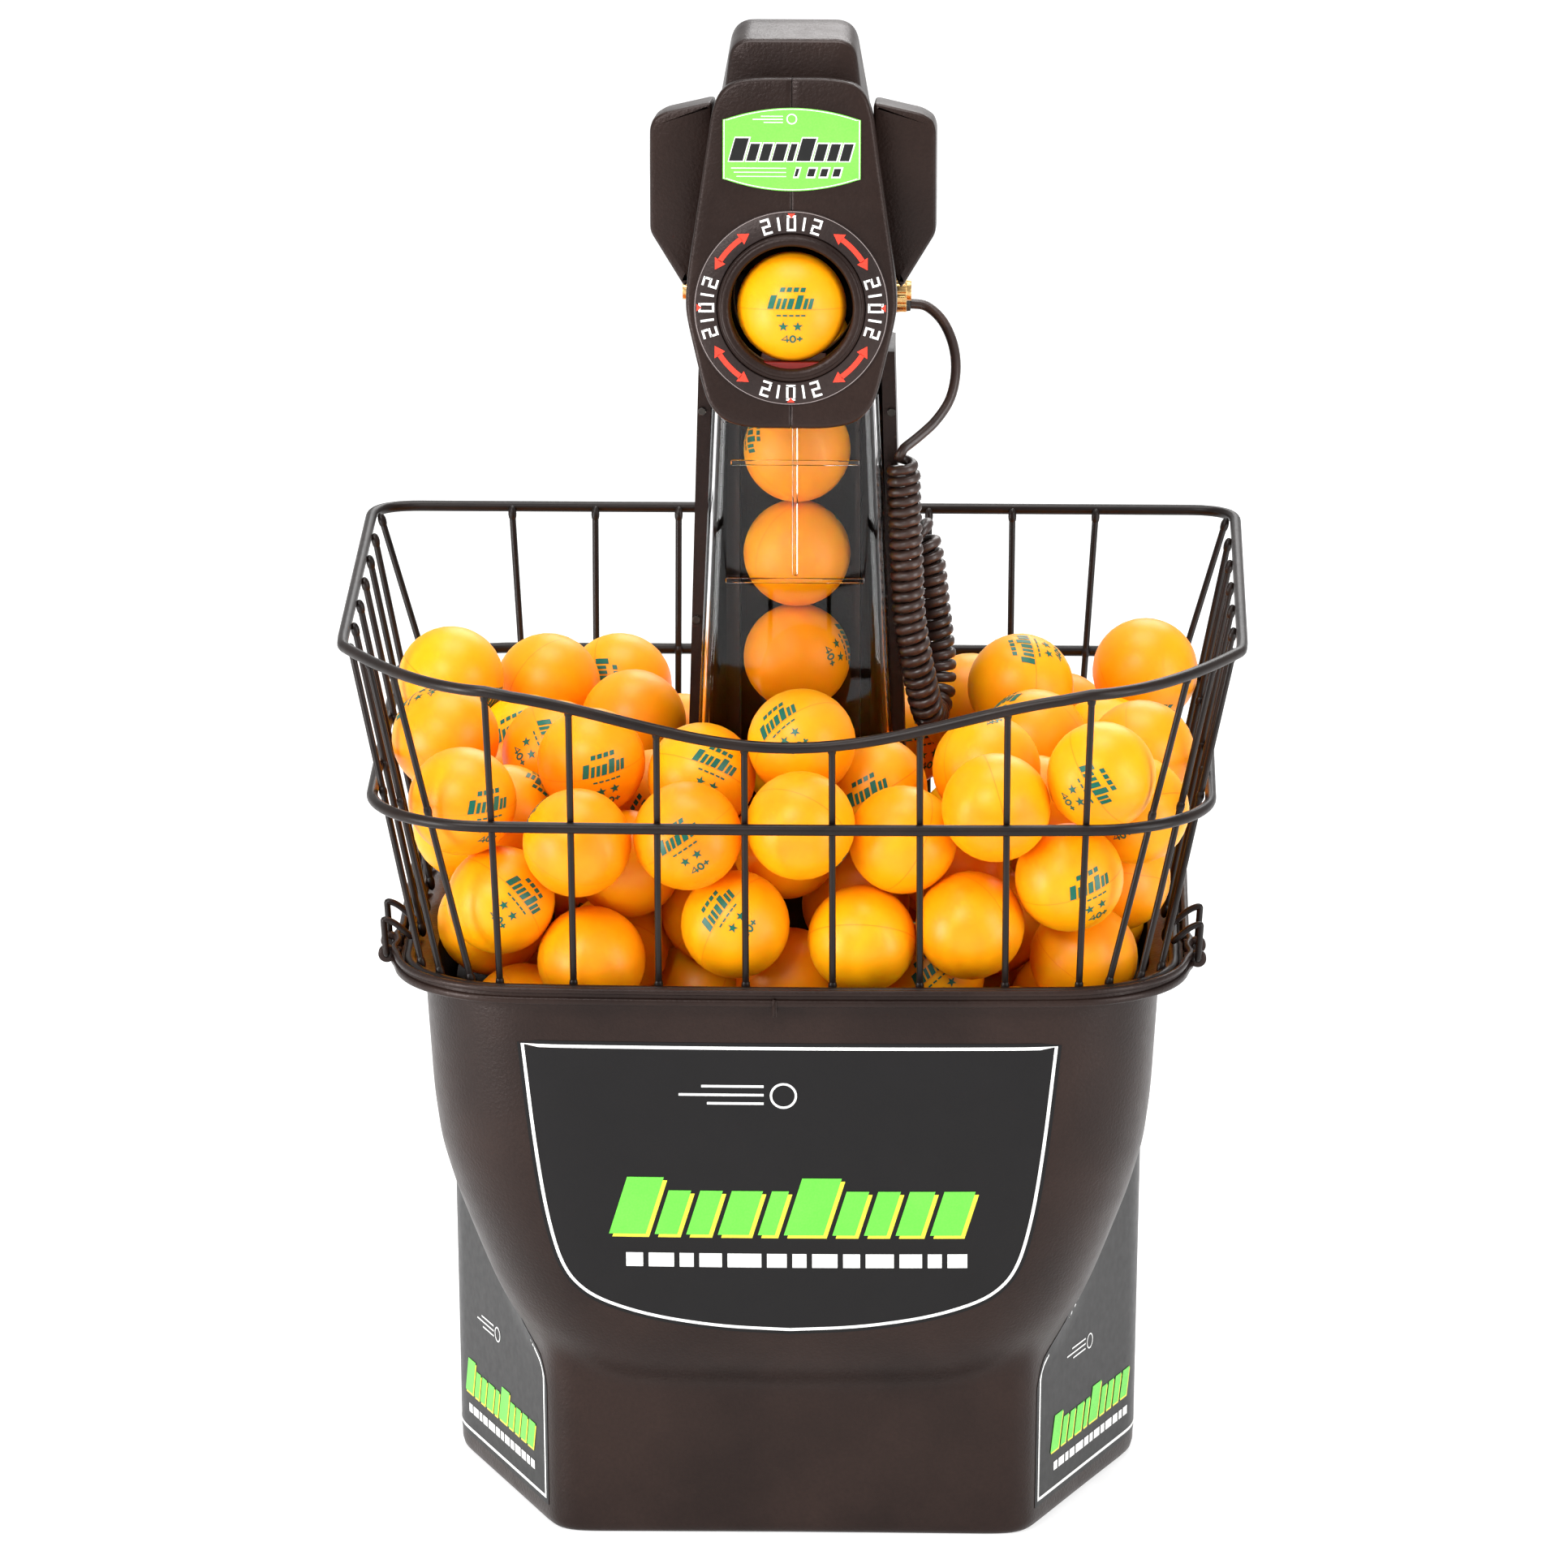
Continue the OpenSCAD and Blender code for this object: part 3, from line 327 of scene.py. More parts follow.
def tube(shape, path, radius, sides=12, closed=False, ink=0, tips=True):
    """A round tube along a path, its section carried without twist."""
    path = [Vector(p) for p in path]
    count = len(path)
    heading = [(path[(k + 1) % count] - path[k - 1] if closed
                else path[min(k + 1, count - 1)] - path[max(k - 1, 0)]).normalized()
               for k in range(count)]
    side = heading[0].orthogonal().normalized()
    points = []
    for k in range(count):
        side = (side - heading[k] * side.dot(heading[k])).normalized()
        up = heading[k].cross(side)
        points += [path[k] + radius * (math.cos(a) * side + math.sin(a) * up)
                   for a in (2 * math.pi * i / sides for i in range(sides))]
    faces = grid_faces(count, sides, closed, True)
    if closed:
        turn = round(nearest_turn(points[-sides:], points[:sides]))
        last = (count - 1) * sides
        faces = faces[:-sides] + [[last + i, last + (i + 1) % sides,
                                   (i + 1 + turn) % sides, (i + turn) % sides] for i in range(sides)]
    elif tips:
        faces += [list(range(sides))[::-1], list(range((count - 1) * sides, count * sides))]
    shape.add(points, faces, ink)


def nearest_turn(last, first):
    """How many steps the first ring is turned from the last, where a closed tube meets itself."""
    return min(range(len(first)), key=lambda k: (first[k] - last[0]).length)


def lathe(shape, profile, centre, axis, segments=72, ink=0):
    """A closed profile of (radius, height) pairs turned round an axis."""
    axis = Vector(axis).normalized()
    side = axis.orthogonal().normalized()
    up = axis.cross(side)
    points = []
    for k in range(segments):
        a = 2 * math.pi * k / segments
        out = math.cos(a) * side + math.sin(a) * up
        points += [Vector(centre) + r * out + h * axis for r, h in profile]
    shape.add(points, grid_faces(segments, len(profile), True, True), ink)


def softened(points, share=0.45, reach=6, steps=4, closed=False):
    """An outline with each corner rounded off by a short curve."""
    points = [Vector(p) for p in points]
    count = len(points)
    made = []
    for k, here in enumerate(points):
        if not closed and k in (0, count - 1):
            made.append(here)
            continue
        before, after = points[k - 1] - here, points[(k + 1) % count] - here
        a = here + before.normalized() * min(share * before.length, reach)
        b = here + after.normalized() * min(share * after.length, reach)
        made += [(1 - t) ** 2 * a + 2 * t * (1 - t) * here + t * t * b
                 for t in (i / steps for i in range(steps + 1))]
    return made


def inset(outline, distance, closed=False):
    """An outline moved to its right-hand side, which is inwards for a clockwise one."""
    count = len(outline)
    moved = []
    for k, here in enumerate(outline):
        before = outline[k - 1] if closed or k else here
        after = outline[(k + 1) % count] if closed or k < count - 1 else here
        run = (Vector(after) - Vector(before)).normalized()
        moved.append(Vector(here) + Vector((run.y, -run.x)) * distance)
    return moved


def catmull(route, steps):
    """A smooth line through the points of a route."""
    points = [Vector(p) for p in route]
    last = len(points) - 1
    line = []
    for k in range(last):
        a, b, c, d = points[max(k - 1, 0)], points[k], points[k + 1], points[min(k + 2, last)]
        line += [0.5 * (2 * b + (c - a) * t + (2 * a - 5 * b + 4 * c - d) * t * t
                        + (3 * b - a - 3 * c + d) * t ** 3) for t in (s / steps for s in range(steps))]
    return line + [points[last]]


def islands(node):
    """The separate solids of a CAD node, each as an array of its points in millimetres."""
    mesh = frame["nodes"][node].data
    points = np.array([v.co for v in mesh.vertices]).reshape(-1, 3) / MM
    _, owner = np.unique(np.round(points, 2), axis=0, return_inverse=True)
    owner = owner.ravel()
    parent = list(range(owner.max() + 1))

    def root(i):
        while parent[i] != i:
            parent[i] = parent[parent[i]]
            i = parent[i]
        return i

    for edge in mesh.edges:
        a, b = (root(owner[v]) for v in edge.vertices)
        parent[a] = b
    roots = np.array([root(i) for i in owner])
    return [points[roots == r] for r in sorted(set(roots), key=lambda r: tuple(points[roots == r][0]))]


# ---------- cord ----------

CORD_R = 1.9
COIL_R = 4.6                           # from the coil's middle line to the cord's
COIL_PITCH = 4.0
COIL_EASING = 8                        # run over which each end of the coil tightens
TURN_POINTS = 14
LEAD_ROUTE = [(42, 33, 446), (48, 33, 445), (54, 30, 440), (58, 25, 432), (59, 20, 423),
              (57, 15, 414), (52, 10, 407), (46, 6, 402), (40, 2, 398)]
CURL_ROUTE = [(40, 2, 398), (40, 2, 385), (41, 2, 360), (42, 3, 335), (45, 5, 315),
              (48, 11, 299), (50, 20, 291), (51, 31, 290), (53, 40, 296), (53, 45, 308),
              (51, 47, 325), (49, 49, 342), (46, 51, 353), (41, 53, 357), (36, 53, 355)]
TAIL_ROUTE = [(36, 53, 355), (33, 53, 353), (30, 53, 352)]


def coil_line():
    """The helix round the coiled stretch's middle line, with turns further apart at its bends."""
    axis = catmull(CURL_ROUTE, 60)
    run = sum((b - a).length for a, b in zip(axis, axis[1:]))
    side = (axis[1] - axis[0]).orthogonal().normalized()
    line, phase, emitted, gone = [], 0.0, 0, 0.0
    for k in range(1, len(axis) - 1):
        step = axis[k + 1] - axis[k]
        heading = step.normalized()
        bend = (heading - (axis[k] - axis[k - 1]).normalized()).length / step.length
        side = (side - heading * side.dot(heading)).normalized()
        up = heading.cross(side)
        gone += step.length
        ease = max(0.0, min(1, gone / COIL_EASING, (run - gone) / COIL_EASING))
        phase += 2 * math.pi * step.length / COIL_PITCH * max(0.6, 1 - COIL_R * bend) * ease
        while phase >= emitted * 2 * math.pi / TURN_POINTS:
            a = emitted * 2 * math.pi / TURN_POINTS
            line.append(axis[k] + COIL_R * ease * (math.cos(a) * side + math.sin(a) * up))
            emitted += 1
    return line


def make_cord():
    line = catmull(LEAD_ROUTE, 5)[:-1] + coil_line() + catmull(TAIL_ROUTE, 3)[1:]
    curve = bpy.data.curves.new("curly_lead", "CURVE")
    curve.dimensions = "3D"
    curve.bevel_depth = CORD_R * MM
    curve.bevel_resolution = 3
    curve.use_fill_caps = True
    spline = curve.splines.new("POLY")
    spline.points.add(len(line) - 1)
    for point, place in zip(spline.points, line):
        point.co = (*(place * MM), 1)
    spline.use_smooth = True
    curve.materials.append(INK["cord_rubber"])
    cord = bpy.data.objects.new("curly_lead", curve)
    bpy.context.scene.collection.objects.link(cord)
    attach(cord, "tower")
    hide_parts("cord_lead", "curly_cord")


# ---------- bucket ----------

WALL = 3
WALL_STEP = 2.5                        # height between the loops of the wall
RIM_PLATE_Z = 217.8
TURN_STEPS = 360
ANGLES = np.arange(TURN_STEPS) * 2 * math.pi / TURN_STEPS


def mesh_tree(node):
    """A ray-casting tree of a CAD node, in millimetres."""
    mesh = frame["nodes"][node].data
    return BVHTree.FromPolygons([v.co / MM for v in mesh.vertices],
                                [tuple(p.vertices) for p in mesh.polygons])


def radii(tree, z):
    """Distance from the axis to the outside of the bucket at height z, for each angle."""
    found = []
    for a in ANGLES:
        out = Vector((math.cos(a), math.sin(a), 0))
        hit = tree.ray_cast(Vector((0, 0, z)) + out * 300, -out)[0]
        found.append(math.hypot(hit.x, hit.y))
    return np.array(found)


def smoothed(rows, sigma):
    """Rows blurred along their first axis, ends held."""
    reach = int(3 * sigma)
    weights = np.exp(-0.5 * (np.arange(-reach, reach + 1) / sigma) ** 2)
    weights /= weights.sum()
    padded = np.concatenate([rows[:1]] * reach + [rows] + [rows[-1:]] * reach)
    return sum(w * padded[k:k + len(rows)] for k, w in enumerate(weights))


def turned(rows, sigma):
    """Rows blurred round the turn."""
    reach = int(3 * sigma)
    weights = np.exp(-0.5 * (np.arange(-reach, reach + 1) / sigma) ** 2)
    weights /= weights.sum()
    return sum(w * np.roll(rows, k - reach, axis=-1) for k, w in enumerate(weights))


def outer_wall():
    """Heights and radii of the bucket's outside below its rim, with soft creases."""
    tree = mesh_tree("bucket")
    socket_low, socket_high = box_mm("cable_socket")
    heights = np.arange(1, RIM_PLATE_Z - 1, WALL_STEP)
    rows = np.array([radii(tree, z) for z in heights])
    socket = math.atan2(socket_high.y, (socket_low.x + socket_high.x) / 2)
    near = np.abs(ANGLES - socket) < math.radians(8)
    covered = (heights > socket_low.z - 4) & (heights < socket_high.z + 4)
    above = rows[np.argmax(heights > socket_high.z + 4)]
    rows[np.ix_(covered, near)] = above[near]
    rows = smoothed(turned(rows, 2.2), 1.6)
    rim = turned(radii(tree, RIM_PLATE_Z + 1), 1.5)
    return heights, rows, rim


HEIGHTS, WALLS, RIM = outer_wall()
TOP_WALL = WALLS[-1]


def rim_profile():
    """(radii, height) loops of the rim, from under the flange over the lip to the inner wall."""
    lip = [(-1.6, 0), (-0.5, 0.15), (0, 0.7), (0, 2.3), (-0.35, 2.8), (-1.3, 3.0), (-1.3, 4.2),
           (-0.35, 4.4), (0, 4.9), (0, 5.9), (-0.5, 6.5), (-1.3, 6.7), (-2.1, 6.5), (-2.6, 5.9),
           (-2.6, 2.6), (-3.0, 2.05), (-3.8, 1.95)]
    loops = [(TOP_WALL + 0.1, RIM_PLATE_Z - 1.6), (TOP_WALL + 0.5, RIM_PLATE_Z - 0.4),
             (TOP_WALL + 1.6, RIM_PLATE_Z)]
    loops += [(RIM + out, RIM_PLATE_Z + up) for out, up in lip]
    return loops + [(TOP_WALL - 3.4, RIM_PLATE_Z + 1.9), (TOP_WALL - 4.1, RIM_PLATE_Z + 1.3),
                    (TOP_WALL - 4, RIM_PLATE_Z - 0.2), (TOP_WALL - WALL, RIM_PLATE_Z - 1)]


def bucket_loops():
    foot = WALLS[0]
    loops = [(foot * 0.002, 0), (foot * 0.5, 0), (foot - 4.2, 0), (foot - 1.9, 0.45),
             (foot - 0.6, 1.6), (foot, 3.6)]
    loops += [(row, z) for z, row in zip(HEIGHTS, WALLS) if z > 5]
    loops += rim_profile()
    loops += [(row - WALL, z) for z, row in list(zip(HEIGHTS, WALLS))[::-2] if z > 5]
    return loops + [(foot - WALL, 3.2), (foot * 0.5, 3), (foot * 0.002, 3)]


def rounded_block(shape, low, high, edge=0.6, ink=0):
    """A block with its edges taken off."""
    low, high = Vector(low), Vector(high)
    levels = [(edge, low.z), (0, low.z + edge), (0, high.z - edge), (edge, high.z)]
    points = []
    for back, z in levels:
        for sx, sy in ((0, 0), (1, 0), (1, 1), (0, 1)):
            cx = high.x - back if sx else low.x + back
            cy = high.y - back if sy else low.y + back
            dx, dy = (-edge if sx else edge), (-edge if sy else edge)
            points += [Vector((cx, cy + dy, z)), Vector((cx + dx, cy, z))]
    shape.add(points, grid_faces(4, 8) + [list(range(8))[::-1], list(range(24, 32))], ink)


def make_bucket():
    shape = Shape("body_plastic")
    loops = bucket_loops()
    shape.add([(r * math.cos(a), r * math.sin(a), z)
               for ring, z in loops for r, a in zip(ring, ANGLES)],
              grid_faces(len(loops), TURN_STEPS, True, True))
    front = -RIM[270]
    rounded_block(shape, (-6.2, front - 0.6, RIM_PLATE_Z - 3.6),
                  (-4.4, front + 6, RIM_PLATE_Z + 3.2), 0.4)
    for joint in ("hook_left_swing", "hook_right_swing"):
        x, y, z = Vector(JOINTS[joint]["pos_m"]) / MM
        for way in (-1, 1):
            lathe(shape, [(1.3, -1.5), (2.9, -1.5), (3.2, -1.2), (3.2, 1.2), (2.9, 1.5), (1.3, 1.5)],
                  (x, y + 9 * way, z), (0, 1, 0), 24)
            near, far = sorted((x - math.copysign(5.4, x), x - math.copysign(1.8, x)))
            rounded_block(shape, (near, y + 9 * way - 1.5, z - 3.2),
                          (far, y + 9 * way + 1.5, z + 2.2), 0.4)
    for screw in islands("chassis_screws"):
        x, y = (screw[:, :2].min(0) + screw[:, :2].max(0)) / 2
        lathe(shape, [(2, 40), (2, 91), (5.5, 91), (6.2, 2.5), (2, 2.5)], (x, y, 0), (0, 0, 1), 32)
    return shape.build("bucket_shell", "root", replaces=["bucket"], crease=50)


# ---------- decals ----------

def tree_of(piece):
    mesh = piece.data
    return BVHTree.FromPolygons([v.co / MM for v in mesh.vertices],
                                [tuple(p.vertices) for p in mesh.polygons])


def patch_points(outline, centre, levels):
    """Rings of points from an outline in to its centre."""
    centre = Vector(centre)
    return [[centre + (Vector(p) - centre) * s for p in outline] for s in levels]


def add_film(shape, rows, drape, lift, thickness, ink, closed=True, capped=True):
    """A thin film over a grid of flat points, laid on a surface by drape(point, lift)."""
    columns = len(rows[0])
    top = [drape(p, lift + thickness) for row in rows for p in row]
    low = [drape(p, lift) for row in rows for p in row]
    count = len(rows)
    face = grid_faces(count, columns, False, closed)
    base = len(top)
    faces = face + [[base + i for i in f[::-1]] for f in face]
    columns_joined = columns if closed else columns - 1
    faces += [[(c + 1) % columns, c, base + c, base + (c + 1) % columns]
              for c in range(columns_joined)]
    end = (count - 1) * columns
    if capped and closed:
        faces += [[end + i for i in range(columns)], [base + end + i for i in range(columns)][::-1]]
    else:
        faces += [[end + c, end + (c + 1) % columns, base + end + (c + 1) % columns, base + end + c]
                  for c in range(columns_joined)]
    if not closed:
        faces += [[r * columns, (r + 1) * columns, base + (r + 1) * columns, base + r * columns]
                  for r in range(count - 1)]
        faces += [[(r + 1) * columns - 1, base + (r + 1) * columns - 1,
                   base + (r + 2) * columns - 1, (r + 2) * columns - 1] for r in range(count - 1)]
    shape.add(top + low, faces, ink)


def bar_rows(x0, x1, z0, z1, slant=0.0, across=3, along=5):
    """A slanted bar as rows of flat points."""
    return [[Vector((x0 + (x1 - x0) * c / across + slant * (z - z0), z)) for c in range(across + 1)]
            for z in (z0 + (z1 - z0) * r / along for r in range(along + 1))]


def ring_rows(centre, inner, outer, steps=32):
    return [[Vector(centre) + r * Vector((math.cos(a), math.sin(a)))
             for a in (2 * math.pi * k / steps for k in range(steps))] for r in (outer, inner)]


BAR_WIDTHS = [13, 8, 8, 11, 6, 14, 8, 8, 9, 11]


def badge():
    """A generic badge as (ink, rows of flat points, closed), its origin at the bottom middle."""
    parts = [("white_ink", ring_rows((-2, 75), 4.0, 4.8), True)]
    for k, reach in enumerate((22, 30, 20)):
        z = 78 - 3.2 * k
        parts.append(("white_ink", bar_rows(-9 - reach, -9, z, z + 0.9, 0, 6, 1), False))
    x = -64.0
    for k, width in enumerate(BAR_WIDTHS):
        tall = 22 if k in (0, 5) else 17
        parts.append(("yellow_ink", bar_rows(x + 1.2, x + width + 1.2, 20.6, 20.6 + tall, 0.3), False))
        parts.append(("green_ink", bar_rows(x, x + width, 21.8, 21.8 + tall, 0.3), False))
        x += width + 3.2
    x = -58.0
    for width in (6, 9, 5, 8, 12, 7, 5, 9, 6, 10, 8, 5, 7):
        parts.append(("white_ink", bar_rows(x, x + width, 9, 14.4, 0, 2, 2), False))
        x += width + 2
    return parts


def add_badge(shape, drape, place, scale):
    """The badge on a surface. Green bars lie on their yellow shadows."""
    for ink, rows, closed in badge():
        moved = [[Vector((place[0] + p.x * scale, place[1] + p.y * scale)) for p in row]
                 for row in rows]
        lift = 0.34 if ink == "green_ink" else 0.26
        add_film(shape, moved, drape, lift, 0.08, shape.finishes.index(ink), closed, capped=False)


CAST = 300                             # a ray towards the object starts this far out
SIDE_CAST = 60                         # the same for a side of the plinth
LABEL_INKS = ("black_film", "white_ink", "green_ink", "yellow_ink")


def make_front_label(bucket):
    tree = tree_of(bucket)

    def drape(p, lift):
        hit, normal = tree.ray_cast(Vector((p.x, -CAST, p.y)), Vector((0, 1, 0)))[:2]
        return hit + normal * lift

    half = [(98.5, 201), (94.5, 164), (90.5, 136), (86, 116.5), (81, 106.5), (72, 99), (52, 92),
            (26, 87.7), (0, 86.5)]
    right = softened(half, 0.45, 30, 5)
    outline = [Vector((x, 201)) for x in np.linspace(0, 92, 18)] + right[:-1]
    outline += [Vector((-p.x, p.y)) for p in outline[:0:-1]] + [Vector((0, 86.5))]
    outline = sorted(outline, key=lambda p: -math.atan2(p.y - 150, p.x))
    shape = Shape(*LABEL_INKS)
    film = inset(outline, -1.4, closed=True)
    add_film(shape, patch_points(film, (0, 150), np.linspace(1, 0.02, 16)), drape, 0.06, 0.14, 0)
    line = [inset(outline, d, closed=True) for d in (0.0, 1.2)]
    add_film(shape, line, drape, 0.24, 0.06, 1, capped=False)
    add_badge(shape, drape, (0, 104), 1.04)
    shape.build("front_label", "root", crease=60)


SIDE_RUN = 140.0
# Distance along the plinth's side, and the height of the label's edge there
SIDE_LABEL_TOP = ((4.5, 7, 10.5, 17, 23.5, 36, 51, 72, 93, 103, 112, 122, 134),
                  (55, 61.5, 65.5, 69.5, 73, 78, 86, 103, 123, 138, 150, 158, 163))


def side_path(side):
    """Plan of the plinth's slanted side and the start of its straight side."""
    corners = [Vector((side * x, y)) for x, y in ((90.0, -75.0), (129.0, 22.6), (129.0, 62.0))]
    spans = [(b - a).length for a, b in zip(corners, corners[1:])]
    normals = []
    for a, b in zip(corners, corners[1:]):
        run = (b - a).normalized()
        normals.append(Vector((run.y, -run.x)) * side)

    def at(s):
        blend = min(1, max(0, (s - spans[0] + 10) / 20))
        normal = normals[0].lerp(normals[1], blend).normalized()
        if s < spans[0]:
            return corners[0] + (corners[1] - corners[0]) * (s / spans[0]), normal
        return corners[1] + (corners[2] - corners[1]) * ((s - spans[0]) / spans[1]), normal

    return at


def make_side_label(bucket, side, name):
    tree = tree_of(bucket)
    at = side_path(side)

    def drape(p, lift):
        s = p.x if side > 0 else SIDE_RUN - p.x
        place, normal = at(s)
        start = Vector((*(place + normal * SIDE_CAST), p.y))
        hit, way = tree.ray_cast(start, -Vector((*normal, 0)))[:2]
        return hit + way * lift

    stations = np.linspace(4.5, SIDE_RUN - 8, 64)
    tops = np.interp(stations, *SIDE_LABEL_TOP)
    shape = Shape(*LABEL_INKS)

    def rows(margin):
        """Columns of the label, margin inside its edge, from its foot to the crease."""
        made = []
        for share in np.linspace(0, 1, 14):
            row = []
            for s, top in zip(stations, tops):
                x = max(stations[0] + margin, min(stations[-1] - margin, s))
                row.append(Vector((x if side > 0 else SIDE_RUN - x,
                                   8 + margin + share * (top - 8 - 2 * margin))))
            made.append(row if side > 0 else row[::-1])
        return made

    def loop(margin):
        grid = rows(margin)
        return (grid[-1] + [r[-1] for r in grid[-2:0:-1]] + grid[0][::-1] + [r[0] for r in grid[1:-1]])

    add_film(shape, rows(0), drape, 0.06, 0.14, 0, closed=False)
    add_film(shape, [loop(2.0), loop(3.2)], drape, 0.24, 0.06, 1, capped=False)
    centre = 58 if side > 0 else SIDE_RUN - 58
    add_badge(shape, drape, (centre, 12), 0.62)
    shape.build(name, "root", crease=60)


# ---------- basket ----------

RING_R = 2.1
FRONT_FLARE = 0.185


def rounded_plan(half_w, front, rear, r, bow, n=16):
    """A rounded rectangle whose front is bowed forward, anticlockwise from the right."""
    def arc(cx, cy, start):
        return [(cx + r * math.cos(start + math.pi / 2 * i / n),
                 cy + r * math.sin(start + math.pi / 2 * i / n)) for i in range(n + 1)]

    front += bow
    edge = [((r - half_w) * (1 - i / 12), front) for i in range(1, 24)]
    raw = (arc(half_w - r, rear - r, 0) + arc(r - half_w, rear - r, math.pi / 2)
           + arc(r - half_w, front + r, math.pi) + edge + arc(half_w - r, front + r, 1.5 * math.pi))
    return [(x, y - bow * (1 - (x / half_w) ** 2) * y / front if y < 0 else y) for x, y in raw]


def level_ring(node, r, bow):
    low, high = box_mm(node)
    return [(x, y, (low.z + high.z) / 2) for x, y in
            rounded_plan(high.x - RING_R, low.y + RING_R, high.y - RING_R, r, bow)]


def bend(a, b, c, n):
    a, b, c = Vector(a), Vector(b), Vector(c)
    return [(1 - t) ** 2 * a + 2 * t * (1 - t) * b + t * t * c for t in (i / n for i in range(n + 1))]


def top_ring():
    """The top ring: level at the sides and back, and sagging in a wave at the front."""
    low, high = box_mm("basket_top_ring")
    foot_low, foot_high = box_mm("basket_bottom_ring")
    foot_z = (foot_low.z + foot_high.z) / 2
    top, half_w, rear = high.z - RING_R, high.x - RING_R, high.y - RING_R
    dip = high.z - low.z - 2 * RING_R

    def front_at(z):
        return foot_low.y + RING_R - FRONT_FLARE * (z - foot_z)

    half = []
    for x in range(0, 104, 4):
        z = top - dip / 2 * (1 + math.cos(math.pi * min(1, x / 125)))
        half.append(Vector((x, front_at(z), z)))
    plan = (bend((110, front_at(top) + 0.4), (137, -133), (164, -77), 18)
            + bend((half_w - 0.5, -74), (half_w, -68), (half_w, -60), 4)
            + bend((half_w, rear - 18), (half_w, rear), (half_w - 18.3, rear), 12))
    half += [Vector((p.x, p.y, top)) for p in plan]
    return half + [Vector((-p.x, p.y, p.z)) for p in half[:0:-1]]


def bar_ends(points):
    """The two ends of a straight bar's middle line."""
    centre = points.mean(0)
    axis = np.linalg.svd(points - centre, full_matrices=False)[2][0]
    along = (points - centre) @ axis
    tips = [points[along > along.max() - 1.5].mean(0), points[along < along.min() + 1.5].mean(0)]
    return sorted((Vector(t) for t in tips), key=lambda t: t.z)


def bead(shape, centre, axis, length=3.2, radius=1.65):
    """A weld: a small lump along a wire."""
    profile = [(0.02, -length)] + [(radius * math.sin(a), -length * math.cos(a))
                                   for a in (math.pi * k / 8 for k in range(1, 8))] + [(0.02, length)]
    lathe(shape, profile, centre, axis, 12)


def make_basket():
    rings = {"basket_top_ring": top_ring(), "basket_mid_ring": level_ring("basket_mid_ring", 44, 4),
             "basket_bottom_ring": level_ring("basket_bottom_ring", 39, 5)}
    for node, path in rings.items():
        shape = Shape("wire_coat")
        tube(shape, path, RING_R, 16, closed=True)
        shape.build(node + "_wire", "root", replaces=[node], crease=60)
    shape = Shape("wire_coat")
    mid_z = rings["basket_mid_ring"][0][2]
    for points in islands("basket_wires"):
        foot, head = bar_ends(points)
        run = (head - foot).normalized()
        tube(shape, [foot + run * 0.3, foot + run * 3, foot.lerp(head, 0.33), foot.lerp(head, 0.66),
                     head - run * 3, head - run * 0.3], 1.25, 10)
        bead(shape, head - run * 2.2, run)
        bead(shape, foot + run * 1.6, run)
        bead(shape, foot.lerp(head, (mid_z - foot.z) / (head.z - foot.z)), run, 2.8, 1.6)
    shape.build("upright_wires", "root", replaces=["basket_wires"], crease=60)


def make_clips():
    """Bent wire clips that hook over the bottom ring."""
    leg, top_y = 12.2, 6.0
    for side, node, body in ((-1, "clip_left", "hook_left"), (1, "clip_right", "hook_right")):
        x, y, z = Vector(JOINTS[body + "_swing"]["pos_m"]) / MM
        shape = Shape("wire_coat")
        half = [(abs(x), top_y), (abs(x), leg - 2), (abs(x), leg), (abs(x) + 0.3, leg),
                (abs(x) + 0.9, leg), (abs(x) + 1, leg), (abs(x) - 3, leg), (141, leg), (141, leg - 1.5),
                (141, 0)]
        heights = [z, z, z + 0.6, z + 4, z + 12.5, z + 14.2, z + 12.8, z + 7.4, z + 7, z + 7]
        run = [Vector((side * a, y + b, c)) for (a, b), c in zip(half, heights)]
        run = run + [Vector((p.x, 2 * y - p.y, p.z)) for p in run[-2::-1]]
        tube(shape, softened(run, 0.45, 3, 4), 1.2, 10)
        shape.build(node + "_wire", body, replaces=[node], crease=60)


# ---------- balls ----------

BALL_R = 20


def unit_ball(segments=36, rings=18):
    points = [Vector((0, 0, 1))]
    for r in range(1, rings):
        a = math.pi * r / rings
        points += [Vector((math.sin(a) * math.cos(b), math.sin(a) * math.sin(b), math.cos(a)))
                   for b in (2 * math.pi * s / segments for s in range(segments))]
    points.append(Vector((0, 0, -1)))
    faces = [[0, 1 + s, 1 + (s + 1) % segments] for s in range(segments)]
    faces += [[1 + i for i in face] for face in grid_faces(rings - 1, segments)]
    last = 1 + (rings - 2) * segments
    end = len(points) - 1
    faces += [[end, last + (s + 1) % segments, last + s] for s in range(segments)]
    return points, faces


def star_rows(cx, cy, r):
    tips = [Vector((cx, cy)) + (r if k % 2 == 0 else r * 0.42)
            * Vector((math.sin(math.pi * k / 5), math.cos(math.pi * k / 5))) for k in range(10)]
    return patch_points(tips[::-1], (cx, cy), (1, 0.05))


def stroke_rows(points, width):
    """A flat stroke along a line."""
    points = [Vector(p) for p in points]
    return [inset(points, width / 2), inset(points, -width / 2)]


def oval(cx, cy, rx, ry, steps=20):
    return [(cx + rx * math.cos(2 * math.pi * k / steps), cy + ry * math.sin(2 * math.pi * k / steps))
            for k in range(steps)]


